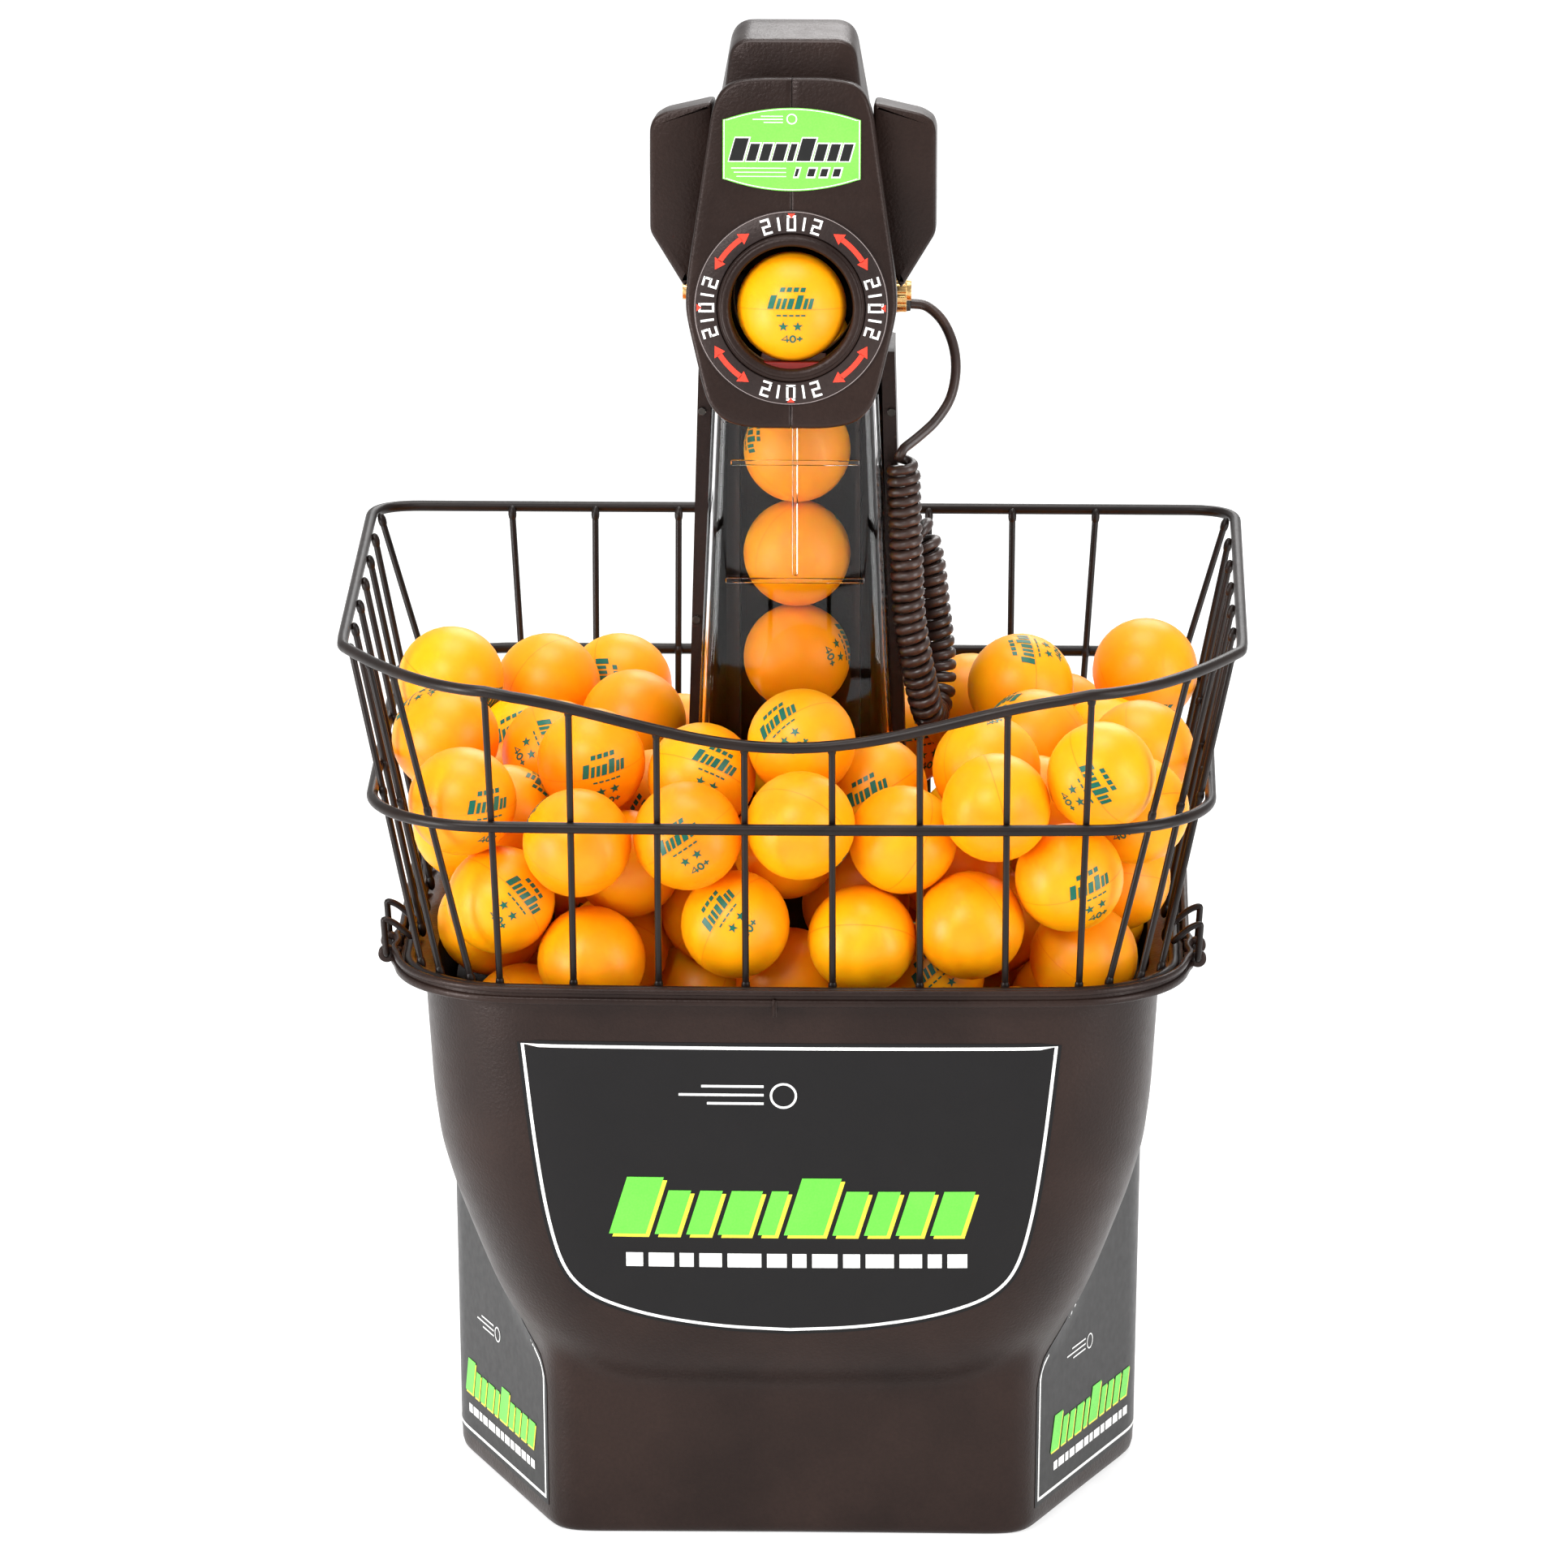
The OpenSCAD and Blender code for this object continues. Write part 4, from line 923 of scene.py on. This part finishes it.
def ball_print():
    """The ink on a ball, in flat points: slanted bars, two stars and the size mark 40+."""
    parts = [(bar_rows(x, x + w, 0.2, 0.2 + h, 0.28, 1, 3), False)
             for x, w, h in ((-7.2, 1.9, 4.2), (-4.6, 1.1, 3.2), (-2.9, 1.1, 3.2), (-1.2, 1.6, 3.2),
                             (1.1, 1.8, 4.2), (3.6, 1.1, 3.2), (5.2, 1.2, 3.2))]
    parts += [(bar_rows(x, x + 1.5, 5.4, 6.8, 0.28, 1, 1), False) for x in (-3.4, -1.3, 0.8, 2.9)]
    parts += [(bar_rows(x, x + 1.3, -2.0, -1.5, 0, 1, 1), False) for x in (-4.2, -2.3, -0.4, 1.5, 3.2)]
    parts += [(star_rows(x, -5.2, 1.6), True) for x in (-2.2, 2.2)]
    parts += [(stroke_rows([(-1.1, -10.6), (-1.1, -8.2), (-2.9, -9.8), (-0.5, -9.8)], 0.55), False)]
    ring = oval(0.7, -9.4, 0.8, 1.15)
    parts += [([inset([Vector(p) for p in ring], d, closed=True) for d in (-0.28, 0.28)], True)]
    parts += [(bar_rows(2.0, 3.8, -9.65, -9.1, 0, 1, 1), False),
              (bar_rows(2.63, 3.18, -10.25, -8.5, 0, 1, 1), False)]
    return parts


PRINT_SCALE = 1.22                     # size of the print on a ball against the sizes above
UNIT_POINTS, UNIT_FACES = unit_ball()
PRINT = ball_print()


def add_ball(shape, attributes, centre, turn, tone, radius=BALL_R):
    """A ball with its own axes: the print faces along its own Y, up along Z."""
    before = len(shape.points)
    shape.add([centre + turn @ p * radius for p in UNIT_POINTS], UNIT_FACES, 0)
    own = [p[:] for p in UNIT_POINTS]

    def drape(p, lift):
        angle = PRINT_SCALE * p.length / radius
        flat = p.normalized() if p.length > 1e-6 else Vector((0, 0))
        way = Vector((-flat.x * math.sin(angle), math.cos(angle), flat.y * math.sin(angle)))
        return centre + turn @ way * (radius + lift)

    for rows, closed in PRINT:
        add_film(shape, rows, drape, -0.1, 0.16, 1, closed, capped=closed and len(rows[0]) == 10)
    own += [(0.5, 0.5, 0.5)] * (len(shape.points) - before - len(own))
    attributes["own_axes"] += own
    attributes["tone"] += [tone] * (len(shape.points) - before)


def facing(towards, roll):
    """A turn whose own Y looks towards a direction, rolled about it."""
    way = Vector(towards).normalized()
    up = Vector((0, 0, 1)) - way * way.z
    up = up.normalized() if up.length > 0.05 else way.orthogonal().normalized()
    side = way.cross(up)
    turn = Matrix((side, way, up)).transposed()
    return Matrix.Rotation(roll, 3, way) @ turn


def ball_turn(chance):
    """A random turn. About two balls in five show their print to the front or the sides."""
    if chance.random() < 0.4:
        way = (chance.uniform(-0.7, 0.7), -1, chance.uniform(-0.1, 0.75))
        return facing(way, chance.uniform(-1.2, 1.2))
    way = (chance.uniform(-1, 1), chance.uniform(-0.5, 1), chance.uniform(-1, 1))
    return facing(way, chance.uniform(0, 2 * math.pi))


def build_balls(name, body, node, centres, turns, chance):
    shape = Shape("ball_plastic", "ball_ink")
    attributes = {"own_axes": [], "tone": []}
    for centre, turn in zip(centres, turns):
        add_ball(shape, attributes, Vector(centre), turn, chance.random())
    shape.build(name, body, replaces=[node], crease=60, attributes={
        "own_axes": ("FLOAT_VECTOR", "vector", attributes["own_axes"]),
        "tone": ("FLOAT", "value", attributes["tone"])})


def make_balls():
    chance = random.Random(40)
    for name, body, node in (("heaped_balls", "root", "ball_pile"),
                             ("column_balls", "tower", "tube_balls"),
                             ("star_wheel_balls", "feed_star", "pocket_balls")):
        centres = [(p.min(0) + p.max(0)) / 2 for p in islands(node)]
        build_balls(name, body, node, centres, [ball_turn(chance) for _ in centres], chance)
    muzzle_ball = (HEAD @ Vector((0, 9, 0)),)
    build_balls("muzzle_ball", "head", "served_ball", muzzle_ball, [facing(THROW_AXIS, 0)], chance)


# ---------- head ----------

FACE_DEPTH = 18
SHELL_REAR = 63
SHELL = 2.2
FACE_OUTLINE = [(0, 83.4), (13, 83.4), (22, 82), (27, 77.5), (29.4, 70), (30.6, 61), (37.6, 13),
                (38.4, 4), (38.2, -3), (31.8, -30), (29.5, -36), (24, -41.8), (14, -44), (0, -44)]
CORE_OUTLINE = [(0, 78), (14, 78), (21, 76.5), (29, 71), (29, 20), (36, 12), (36, -6), (29, -32),
                (22, -36), (0, -36)]
SEAM = 0.12


def at_angles(outline, angles):
    """Points of an outline in the directions of the given angles from the throw line."""
    made = []
    for a in angles:
        way = Vector((math.cos(a), math.sin(a)))
        best = None
        for p, q in zip(outline, outline[1:]):
            run = q - p
            cross = way.x * run.y - way.y * run.x
            if abs(cross) < 1e-9:
                continue
            share = (way.y * p.x - way.x * p.y) / cross
            reach = (p.x * run.y - p.y * run.x) / cross
            if -1e-6 <= share <= 1 + 1e-6 and reach > 0 and (best is None or reach > best):
                best = reach
        made.append(way * best)
    return made


def casing_sections():
    """Loops of a half casing, each from the top of the seam round to its bottom."""
    face = softened(FACE_OUTLINE, 0.45, 7, 5)
    core = softened(CORE_OUTLINE, 0.45, 7, 4)
    seam = math.radians(0.3)
    angles = {math.atan2(p.y, p.x) for line in (face, core) for p in line if p.x > 0.5}
    angles |= {math.radians(a) for a in range(-88, 90, 4)} | {math.pi / 2 - seam, seam - math.pi / 2}
    angles |= {math.pi / 2 - 3.4 * seam, 3.4 * seam - math.pi / 2}
    angles = sorted(angles, reverse=True)
    angles = [a for a, b in zip(angles, angles[1:] + [9]) if abs(a - b) > 0.004]
    face, core = at_angles(face, angles), at_angles(core, angles)

    def hole(r):
        return [Vector((math.cos(a), math.sin(a))) * r for a in angles]

    def between(a, b, t):
        return [p.lerp(q, t) for p, q in zip(a, b)]

    rim = inset(face, 1.7)
    back = inset(core, 1.2)
    return [(hole(27.2), SHELL), (hole(27.2), 0.5), (hole(27.6), 0), (between(hole(27.6), rim, 0.4), 0),
            (between(hole(27.6), rim, 0.8), 0), (rim, 0), (inset(face, 0.8), 0.25),
            (inset(face, 0.25), 0.8), (face, 1.7), (face, 9), (face, 16.8), (inset(face, 0.4), 17.7),
            (inset(face, 1.2), FACE_DEPTH), (core, FACE_DEPTH), (core, 40), (core, 60.8),
            (inset(core, 0.35), 62.2), (back, SHELL_REAR), (between(back, hole(25.6), 0.6), SHELL_REAR),
            (hole(25.6), SHELL_REAR), (hole(25.6), SHELL_REAR - SHELL),
            (inset(core, SHELL), SHELL_REAR - SHELL), (inset(core, SHELL), 16.4),
            (inset(face, SHELL), 16.4), (inset(face, SHELL), SHELL)]


def make_casing():
    sections = casing_sections()
    columns = len(sections[0][0])
    for side, name, node in ((1, "casing_right", "face_right"), (-1, "casing_left", "face_left")):
        shape = Shape("body_plastic")
        points = []
        for loop, y in sections:
            for k, p in enumerate(loop):
                at_seam = k in (0, columns - 1)
                sunk = 0.4 if at_seam and y < 1 else -0.4 if at_seam and y > SHELL_REAR - 1 else 0
                points.append(((SEAM if at_seam else max(p.x, SEAM)) * side, y + sunk, p.y))
        faces = grid_faces(len(sections), columns, True, False)
        faces += [[r * columns for r in range(len(sections))],
                  [r * columns + columns - 1 for r in range(len(sections))][::-1]]
        if side > 0:
            faces = [f[::-1] for f in faces]
        shape.add(points, faces)
        shape.build(name, "head", HEAD, [node], crease=32)


WING_CREASE = 54
WING_LEAN = 0.22                       # how far the front falls back per unit below the crease
WING_OUTLINE = [(29.3, 74), (47, 70), (51, 67.5), (52.2, 64), (52.2, WING_CREASE), (52.2, 26),
                (39.5, 5), (36.5, 11.5), (29.3, 20.6), (29.3, WING_CREASE)]


def wing_front(z):
    """The wing's front: upright at the top, and leaning back below its crease."""
    return FACE_DEPTH + 0.4 + max(0, WING_CREASE - z) * WING_LEAN


def make_wings():
    plain = [Vector(p) for p in WING_OUTLINE]
    outline = []
    for k, here in enumerate(plain):
        if abs(here.y - WING_CREASE) < 0.1:
            outline.append(here)
            continue
        before, after = plain[k - 1] - here, plain[(k + 1) % len(plain)] - here
        cut = 0.4 * min(before.length, after.length, 5)
        a, b = here + before.normalized() * cut, here + after.normalized() * cut
        outline += [(1 - t) ** 2 * a + 2 * t * (1 - t) * here + t * t * b for t in (0, 0.33, 0.67, 1)]
    creases = [k for k, p in enumerate(outline) if abs(p.y - WING_CREASE) < 0.1]
    count = len(outline)
    rear = SHELL_REAR - 2
    layers = [(2.2, None, 0), (0.9, None, 0.35), (0.2, None, 1.2), (0, None, 2.4), (0, 40, 0),
              (0, rear - 1.6, 0), (0.4, rear - 0.5, 0), (1.5, rear, 0)]
    for side, name, node in ((1, "motor_wing", "wing_right"), (-1, "axle_wing", "wing_left")):
        points = []
        for back, y, sunk in layers:
            points += [(p.x * side, wing_front(p.y) + sunk if y is None else y, p.y)
                       for p in inset(outline, back, closed=True)]
        faces = grid_faces(len(layers), count)
        low = list(range(creases[0], creases[1] + 1))
        high = list(range(creases[1], count)) + list(range(creases[0] + 1))
        faces += [low[::-1], high[::-1], [(len(layers) - 1) * count + k for k in range(count)]]
        if side > 0:
            faces = [f[::-1] for f in faces]
        Shape("body_plastic").add(points, faces).build(name, "head", HEAD, [node], crease=24)


# Sections of the hood: [y, half width at its foot, half width at its top, top]
HOOD = [(17, 27, 20, 96.5), (34, 28.1, 19.7, 99.6), (50, 29, 19.5, 102.5), (57, 28.8, 18.9, 101),
        (SHELL_REAR - 0.5, 28, 17, 96)]
HOOD_FOOT = 72.6


def hood_arch(y, back):
    """The hood's outline at depth y, back inside its surface, from left foot to right foot."""
    foot, top, peak = (np.interp(y, [s[0] for s in HOOD], [s[k] for s in HOOD]) for k in (1, 2, 3))
    line = [Vector((-foot + 1.5, HOOD_FOOT)), Vector((-top - 2.6, peak)),
            Vector((top + 2.6, peak)), Vector((foot - 1.5, HOOD_FOOT))]
    arch = inset(softened(line, 0.46, 7.5, 12), back)
    return [Vector((p.x, max(p.y, HOOD_FOOT))) for p in arch]


def make_hood():
    foot = Vector((0, HOOD_FOOT))

    def shrunk(y, back, share):
        return [foot + (p - foot) * share for p in hood_arch(y, back)]

    rear = SHELL_REAR - 0.5
    sections = [(shrunk(17, 2.4, 0.03), 17), (shrunk(17, 2.4, 0.55), 17), (hood_arch(17, 2.4), 17),
                (hood_arch(17.3, 1.0), 17.4), (hood_arch(18, 0.25), 18.3), (hood_arch(19.4, 0), 19.6)]
    sections += [(hood_arch(y, 0), y) for y in (26, 34, 42, 50, 54, 57, 59.5)]
    sections += [(hood_arch(61, 0.5), 61.3), (hood_arch(rear, 1.8), rear), (shrunk(rear, 1.8, 0.5), rear),
                 (shrunk(rear, 1.8, 0.03), rear), (shrunk(rear - 2, 4, 0.03), rear - 2),
                 (hood_arch(rear - 2, 3.2), rear - 2)]
    sections += [(hood_arch(y, 2.2), y) for y in (50, 34)]
    sections += [(hood_arch(19.4, 2.6), 19.4), (shrunk(19.4, 2.6, 0.03), 19.4)]
    columns = len(sections[0][0])
    points = [(p.x, y, p.y) for loop, y in sections for p in loop]
    faces = grid_faces(len(sections), columns, True, False)
    faces += [[r * columns for r in range(len(sections))],
              [r * columns + columns - 1 for r in range(len(sections))][::-1]]
    Shape("body_plastic").add(points, faces).build("wheel_cover", "head", HEAD, ["wheel_hood"], crease=30)


def make_muzzle():
    shape = Shape("body_plastic")
    profile = [(22.4, 18), (22.4, -0.3), (22.7, -1.0), (23.3, -1.4), (24.2, -1.6), (25.0, -1.55),
               (25.5, -1.2), (25.7, -0.75), (26.1, -0.55), (26.6, -0.6), (26.9, -0.3), (26.9, 0.6),
               (27.05, 0.9), (27.05, 2.3), (25.6, 2.4), (25.6, 18)]
    lathe(shape, profile, (0, 0, 0), (0, 1, 0), 128)
    shape.build("muzzle_bezel", "head", HEAD, ["muzzle_ring"], crease=40)
    shape = Shape("dial_film", "painted_rim_highlight")
    lathe(shape, [(27.15, 0), (27.15, -0.55), (27.4, -0.8), (35.0, -0.8), (35.4, -0.5), (35.4, 0)],
          (0, 0, 0), (0, 1, 0), 144)
    # A thin light grey ring at the dial's outer edge: a painted highlight along the raised rim
    lathe(shape, [(34.85, -0.78), (34.88, -0.88), (35.06, -0.88), (35.1, -0.75)],
          (0, 0, 0), (0, 1, 0), 144, 1)
    shape.build("dial_plate", "head", HEAD, ["spin_dial"], crease=40)


def on_plane(y):
    """Lays flat points on an upright plane of the head, in front of depth y."""
    return lambda p, lift: Vector((p.x, y - lift, p.y))


def arc_points(r, a0, a1, steps):
    return [Vector((r * math.cos(a), r * math.sin(a))) for a in np.linspace(a0, a1, steps)]


def make_dial_marks():
    """Red double-headed arrows on the diagonals, a red pointer and white numerals on each side."""
    shape = Shape("red_ink", "white_ink")
    drape = on_plane(-0.8)
    middle, half_width, head = 31.0, 0.95, 2.3
    for quarter in range(4):
        a = math.radians(43.5 + 90 * quarter if quarter % 2 == 0 else 46.5 + 90 * quarter)
        sweep, tip = math.radians(10.5), math.radians(17)
        add_film(shape, [arc_points(middle + half_width, a - sweep, a + sweep, 12),
                         arc_points(middle - half_width, a - sweep, a + sweep, 12)],
                 drape, 0.02, 0.08, 0, closed=False)
        for way in (-1, 1):
            base, point = a + way * (sweep - 0.01), a + way * tip
            corners = [Vector((r * math.cos(t), r * math.sin(t)))
                       for r, t in ((middle + head, base), (middle, point), (middle - head, base))]
            add_film(shape, patch_points(corners, sum(corners, Vector((0, 0))) / 3, (1, 0.02)),
                     drape, 0.02, 0.08, 0)
        side = math.radians(90 * quarter)
        corners = [Vector((r * math.cos(t), r * math.sin(t)))
                   for r, t in ((34.4, side - 0.04), (34.4, side + 0.04), (32.6, side))]
        add_film(shape, patch_points(corners, sum(corners, Vector((0, 0))) / 3, (1, 0.02)),
                 drape, 0.03, 0.08, 0)
        for step in (-2, -1, 0, 1, 2):
            add_numeral(shape, str(abs(step)), side + math.radians(8.6 * step), 30.8, 4.9, drape)
    shape.build("dial_marks", "head", HEAD, crease=60)


SEGMENTS = {"0": "abcdef", "1": "bc", "2": "abged"}


def add_numeral(shape, digit, angle, r, tall, drape):
    """A digit of straight strokes, upright to the dial's edge."""
    wide, stroke = tall * 0.52, tall * 0.17
    h = tall / 2
    places = {"a": (0, h, 1), "g": (0, 0, 1), "d": (0, -h, 1), "f": (-wide / 2, h / 2, 0),
              "b": (wide / 2, h / 2, 0), "e": (-wide / 2, -h / 2, 0), "c": (wide / 2, -h / 2, 0)}
    out = Vector((math.cos(angle), math.sin(angle)))
    across = Vector((out.y, -out.x))
    for letter in SEGMENTS[digit]:
        x, z, level = places[letter]
        half_x, half_z = ((wide + stroke) / 2, stroke / 2) if level else (stroke / 2, h / 2)
        if digit == "1":
            x = 0
        rows = [[out * (r + z + dz) + across * (x + dx) for dx in (-half_x, half_x)]
                for dz in (-half_z, half_z)]
        add_film(shape, rows, drape, 0.02, 0.08, 1, closed=False)


def make_head_label():
    """A green plate with generic marks: a ball, speed lines and slanted bars."""
    half_w, corner, peak = 25.2, 68.3, 72.8
    foot, low = 42.3, 46.8
    across = np.linspace(-half_w, half_w, 25)
    top = [Vector((x, peak - (peak - corner) * (x / half_w) ** 2)) for x in across]
    bottom = [Vector((x, foot + (low - foot) * (x / half_w) ** 2)) for x in across[::-1]]
    outline = softened(top, 0.3, 1, 1) + softened(bottom, 0.3, 1, 1)
    shape = Shape("label_film", "white_ink", "black_ink")
    drape = on_plane(0)
    centre = (0, 57.5)
    add_film(shape, patch_points(inset(outline, 0.15, True), centre, (1, 0.5, 0.02)), drape, 0.02, 0.48, 0)
    edge = [inset(outline, d, True) for d in (0.5, 0.8)]
    add_film(shape, edge, drape, 0.5, 0.05, 1, capped=False)
    add_film(shape, ring_rows((0, 68.6), 1.5, 1.95, 28), drape, 0.5, 0.06, 1, capped=False)
    for k, reach in enumerate((8, 11, 7)):
        add_film(shape, bar_rows(-3.2 - reach, -3.2, 69.4 - 1.1 * k, 69.75 - 1.1 * k, 0, 2, 1), drape, 0.5,
                 0.06, 1, closed=False)
    x = -22.8
    for k, width in enumerate((5, 3.4, 3.4, 4.2, 2.2, 5, 3.6, 3.4, 3.4)):
        tall = 8.2 if k in (0, 5) else 6.2
        add_film(shape, bar_rows(x - 0.45, x + width + 0.45, 53.0, 53.9 + tall, 0.28, 1, 1),
                 drape, 0.5, 0.05, 1, closed=False)
        add_film(shape, bar_rows(x, x + width, 53.4, 53.4 + tall, 0.28, 1, 1), drape, 0.56, 0.06, 2,
                 closed=False)
        x += width + 1.25
    for k in range(3):
        z = 50.6 - 1.5 * k
        add_film(shape, bar_rows(-22 + k, -2, z, z + 0.3, 0, 2, 1), drape, 0.5, 0.06, 1, closed=False)
    for k, width in enumerate((2, 3.4, 3.4, 3.4)):
        start = 0.5 + 4.6 * k
        add_film(shape, bar_rows(start, start + width, 47.2, 51.2, 0.28, 1, 1), drape, 0.5, 0.06, 1,
                 closed=False)
        add_film(shape, bar_rows(start + 0.45, start + width - 0.45, 47.8, 50.6, 0.28, 1, 1), drape, 0.56,
                 0.05, 2, closed=False)
    shape.build("head_plate", "head", HEAD, ["head_label"], crease=40)


# ---------- tower ----------

TOWER_Y = JOINTS["tower_sweep"]["pos_m"][1] / MM


def make_window():
    """The clear cover of the ball column: a bent sheet with round corners and raised ribs."""
    low, high = box_mm("tower_window")
    front = low.y - TOWER_Y + 1.2
    back = high.y - TOWER_Y

    def half_width(z):
        return 35.5 - (z - 311) * 4 / 94

    def line(w, z, d):
        corner = 8.2
        half = [Vector((w - d, back)), Vector((w - d, front + corner + 1))]
        r = corner - d
        half += [Vector((w - corner + r * math.cos(a), front + corner - r * math.sin(a)))
                 for a in (math.pi / 2 * k / 8 for k in range(9))]
        full = half + [Vector((-p.x, p.y)) for p in half[::-1]]
        return [(p.x, p.y + TOWER_Y, z) for p in full]

    levels = np.linspace(low.z, high.z, 12)
    shape = Shape("clear_plastic")
    rows = [line(half_width(z), z, 0) for z in levels] + [line(half_width(z), z, 2) for z in levels[::-1]]
    columns = len(rows[0])
    faces = grid_faces(len(rows), columns, True, False)
    faces += [[r * columns + e for r in range(len(rows))][::(1 if e else -1)] for e in (0, columns - 1)]
    shape.add([p for row in rows for p in row], faces)
    for z in (352, 397):
        w = half_width(z) - 8
        rounded_block(shape, (-w, TOWER_Y + front - 1.2, z - 1), (w, TOWER_Y + front - 0.02, z + 1), 0.35)
    rounded_block(shape, (-1, TOWER_Y + front - 1.2, 354), (1, TOWER_Y + front - 0.02, high.z - 1), 0.35)
    shape.build("window_cover", "tower", replaces=["tower_window"], crease=40)


# ---------- carried-over CAD nodes ----------

CAD_FINISHES = {
    "hopper_floor": ("inner_plastic", 0), "chassis_screws": ("steel", 0.2), "standoffs": ("steel", 0.3),
    "chassis_plate": ("steel", 0.2), "tower_bearing": ("gear_plastic", 0.3),
    "oscillator_motor": ("steel", 0.4), "feed_gearmotor": ("steel", 0.5),
    "feed_guide": ("inner_plastic", 0.3), "cable_socket": ("black_rubber", 0.3),
    "feed_wheel": ("gear_plastic", 0.5), "osc_pinion": ("gear_plastic", 0),
    "sector_gear": ("gear_plastic", 0), "tower_channel": ("body_plastic", 0.5),
    "tower_screws": ("dark_steel", 0.2), "cord_gland": ("black_rubber", 0.3),
    "cord_socket": ("body_plastic", 0.8), "cradle": ("body_plastic", 0.6),
    "throat_tube": ("inner_plastic", 0.3), "friction_block": ("red_rubber", 0.6),
    "speed_motor": ("steel", 0.4), "head_screws": ("steel", 0.2), "wheel_hub": ("steel", 0.4),
    "wheel_tyre": ("black_rubber", 0.7), "tilt_nut_left": ("brass", 0.25),
    "tilt_nut_right": ("brass", 0.25)}


def dress(node, finish, edge):
    """Gives a CAD node its finish, and takes its sharp edges off."""
    piece = frame["nodes"][node]
    piece.data.materials.clear()
    piece.data.materials.append(INK[finish])
    weld = piece.modifiers.new("weld", "WELD")
    weld.merge_threshold = 0.00001
    if edge:
        flat = piece.modifiers.new("flat", "DECIMATE")
        flat.decimate_type = "DISSOLVE"
        flat.angle_limit = math.radians(1)
        bevel = piece.modifiers.new("edges", "BEVEL")
        bevel.width = edge * MM
        bevel.segments = 2
        bevel.limit_method = "ANGLE"
        bevel.angle_limit = math.radians(40)
        bevel.harden_normals = True


# ---------- light and floor ----------

# Name, place in metres, size in metres and power in watts
LIGHTS = (("key", (-0.9, -1.9, 1.9), 0.9, 40),
          ("fill", (1.7, -1.3, 1.0), 0.8, 16),
          ("low", (-1.7, -1.0, 0.5), 0.6, 12),
          ("top", (0, 0.1, 2.2), 1.2, 30),
          ("left strip", (-0.85, -0.55, 0.2), 0.35, 5),
          ("right strip", (0.9, -0.5, 0.2), 0.3, 3),
          ("back", (0.4, 2.2, 1.8), 1.4, 30))


def make_stage():
    world = bpy.data.worlds.new("studio")
    world.use_nodes = True
    world.node_tree.nodes["Background"].inputs["Color"].default_value = (1, 1, 1, 1)
    world.node_tree.nodes["Background"].inputs["Strength"].default_value = 0.6
    bpy.context.scene.world = world
    floor = bpy.data.meshes.new("floor")
    floor.from_pydata([(-20, -20, 0), (20, -20, 0), (20, 20, 0), (-20, 20, 0)], [], [(0, 1, 2, 3)])
    pale = Finish("pale_floor", Roughness=0.95, Emission_Color=(1, 1, 1, 1), Emission_Strength=0.72)
    pale.mottle((0.42, 0.42, 0.42, 1), (0.44, 0.44, 0.44, 1), 2, 40)
    floor.materials.append(pale.material)
    piece = bpy.data.objects.new("floor", floor)
    bpy.context.scene.collection.objects.link(piece)
    target = Vector((0, 0, 0.28))
    for name, place, size, power in LIGHTS:
        light = bpy.data.lights.new(name, "AREA")
        light.size = size
        light.energy = power
        lamp = bpy.data.objects.new(name, light)
        lamp.location = place
        lamp.rotation_euler = (Vector(place) - target).to_track_quat("Z", "Y").to_euler()
        bpy.context.scene.collection.objects.link(lamp)
    bpy.context.scene.view_settings.view_transform = "Standard"


# ---------- the scene ----------

set_camera()
make_cord()
shell = make_bucket()
make_front_label(shell)
make_side_label(shell, -1, "side_label_left")
make_side_label(shell, 1, "side_label_right")
make_basket()
make_clips()
make_balls()
make_casing()
make_wings()
make_hood()
make_muzzle()
make_dial_marks()
make_head_label()
make_window()
for cad_node, (cad_finish, cad_edge) in CAD_FINISHES.items():
    dress(cad_node, cad_finish, cad_edge)
make_stage()
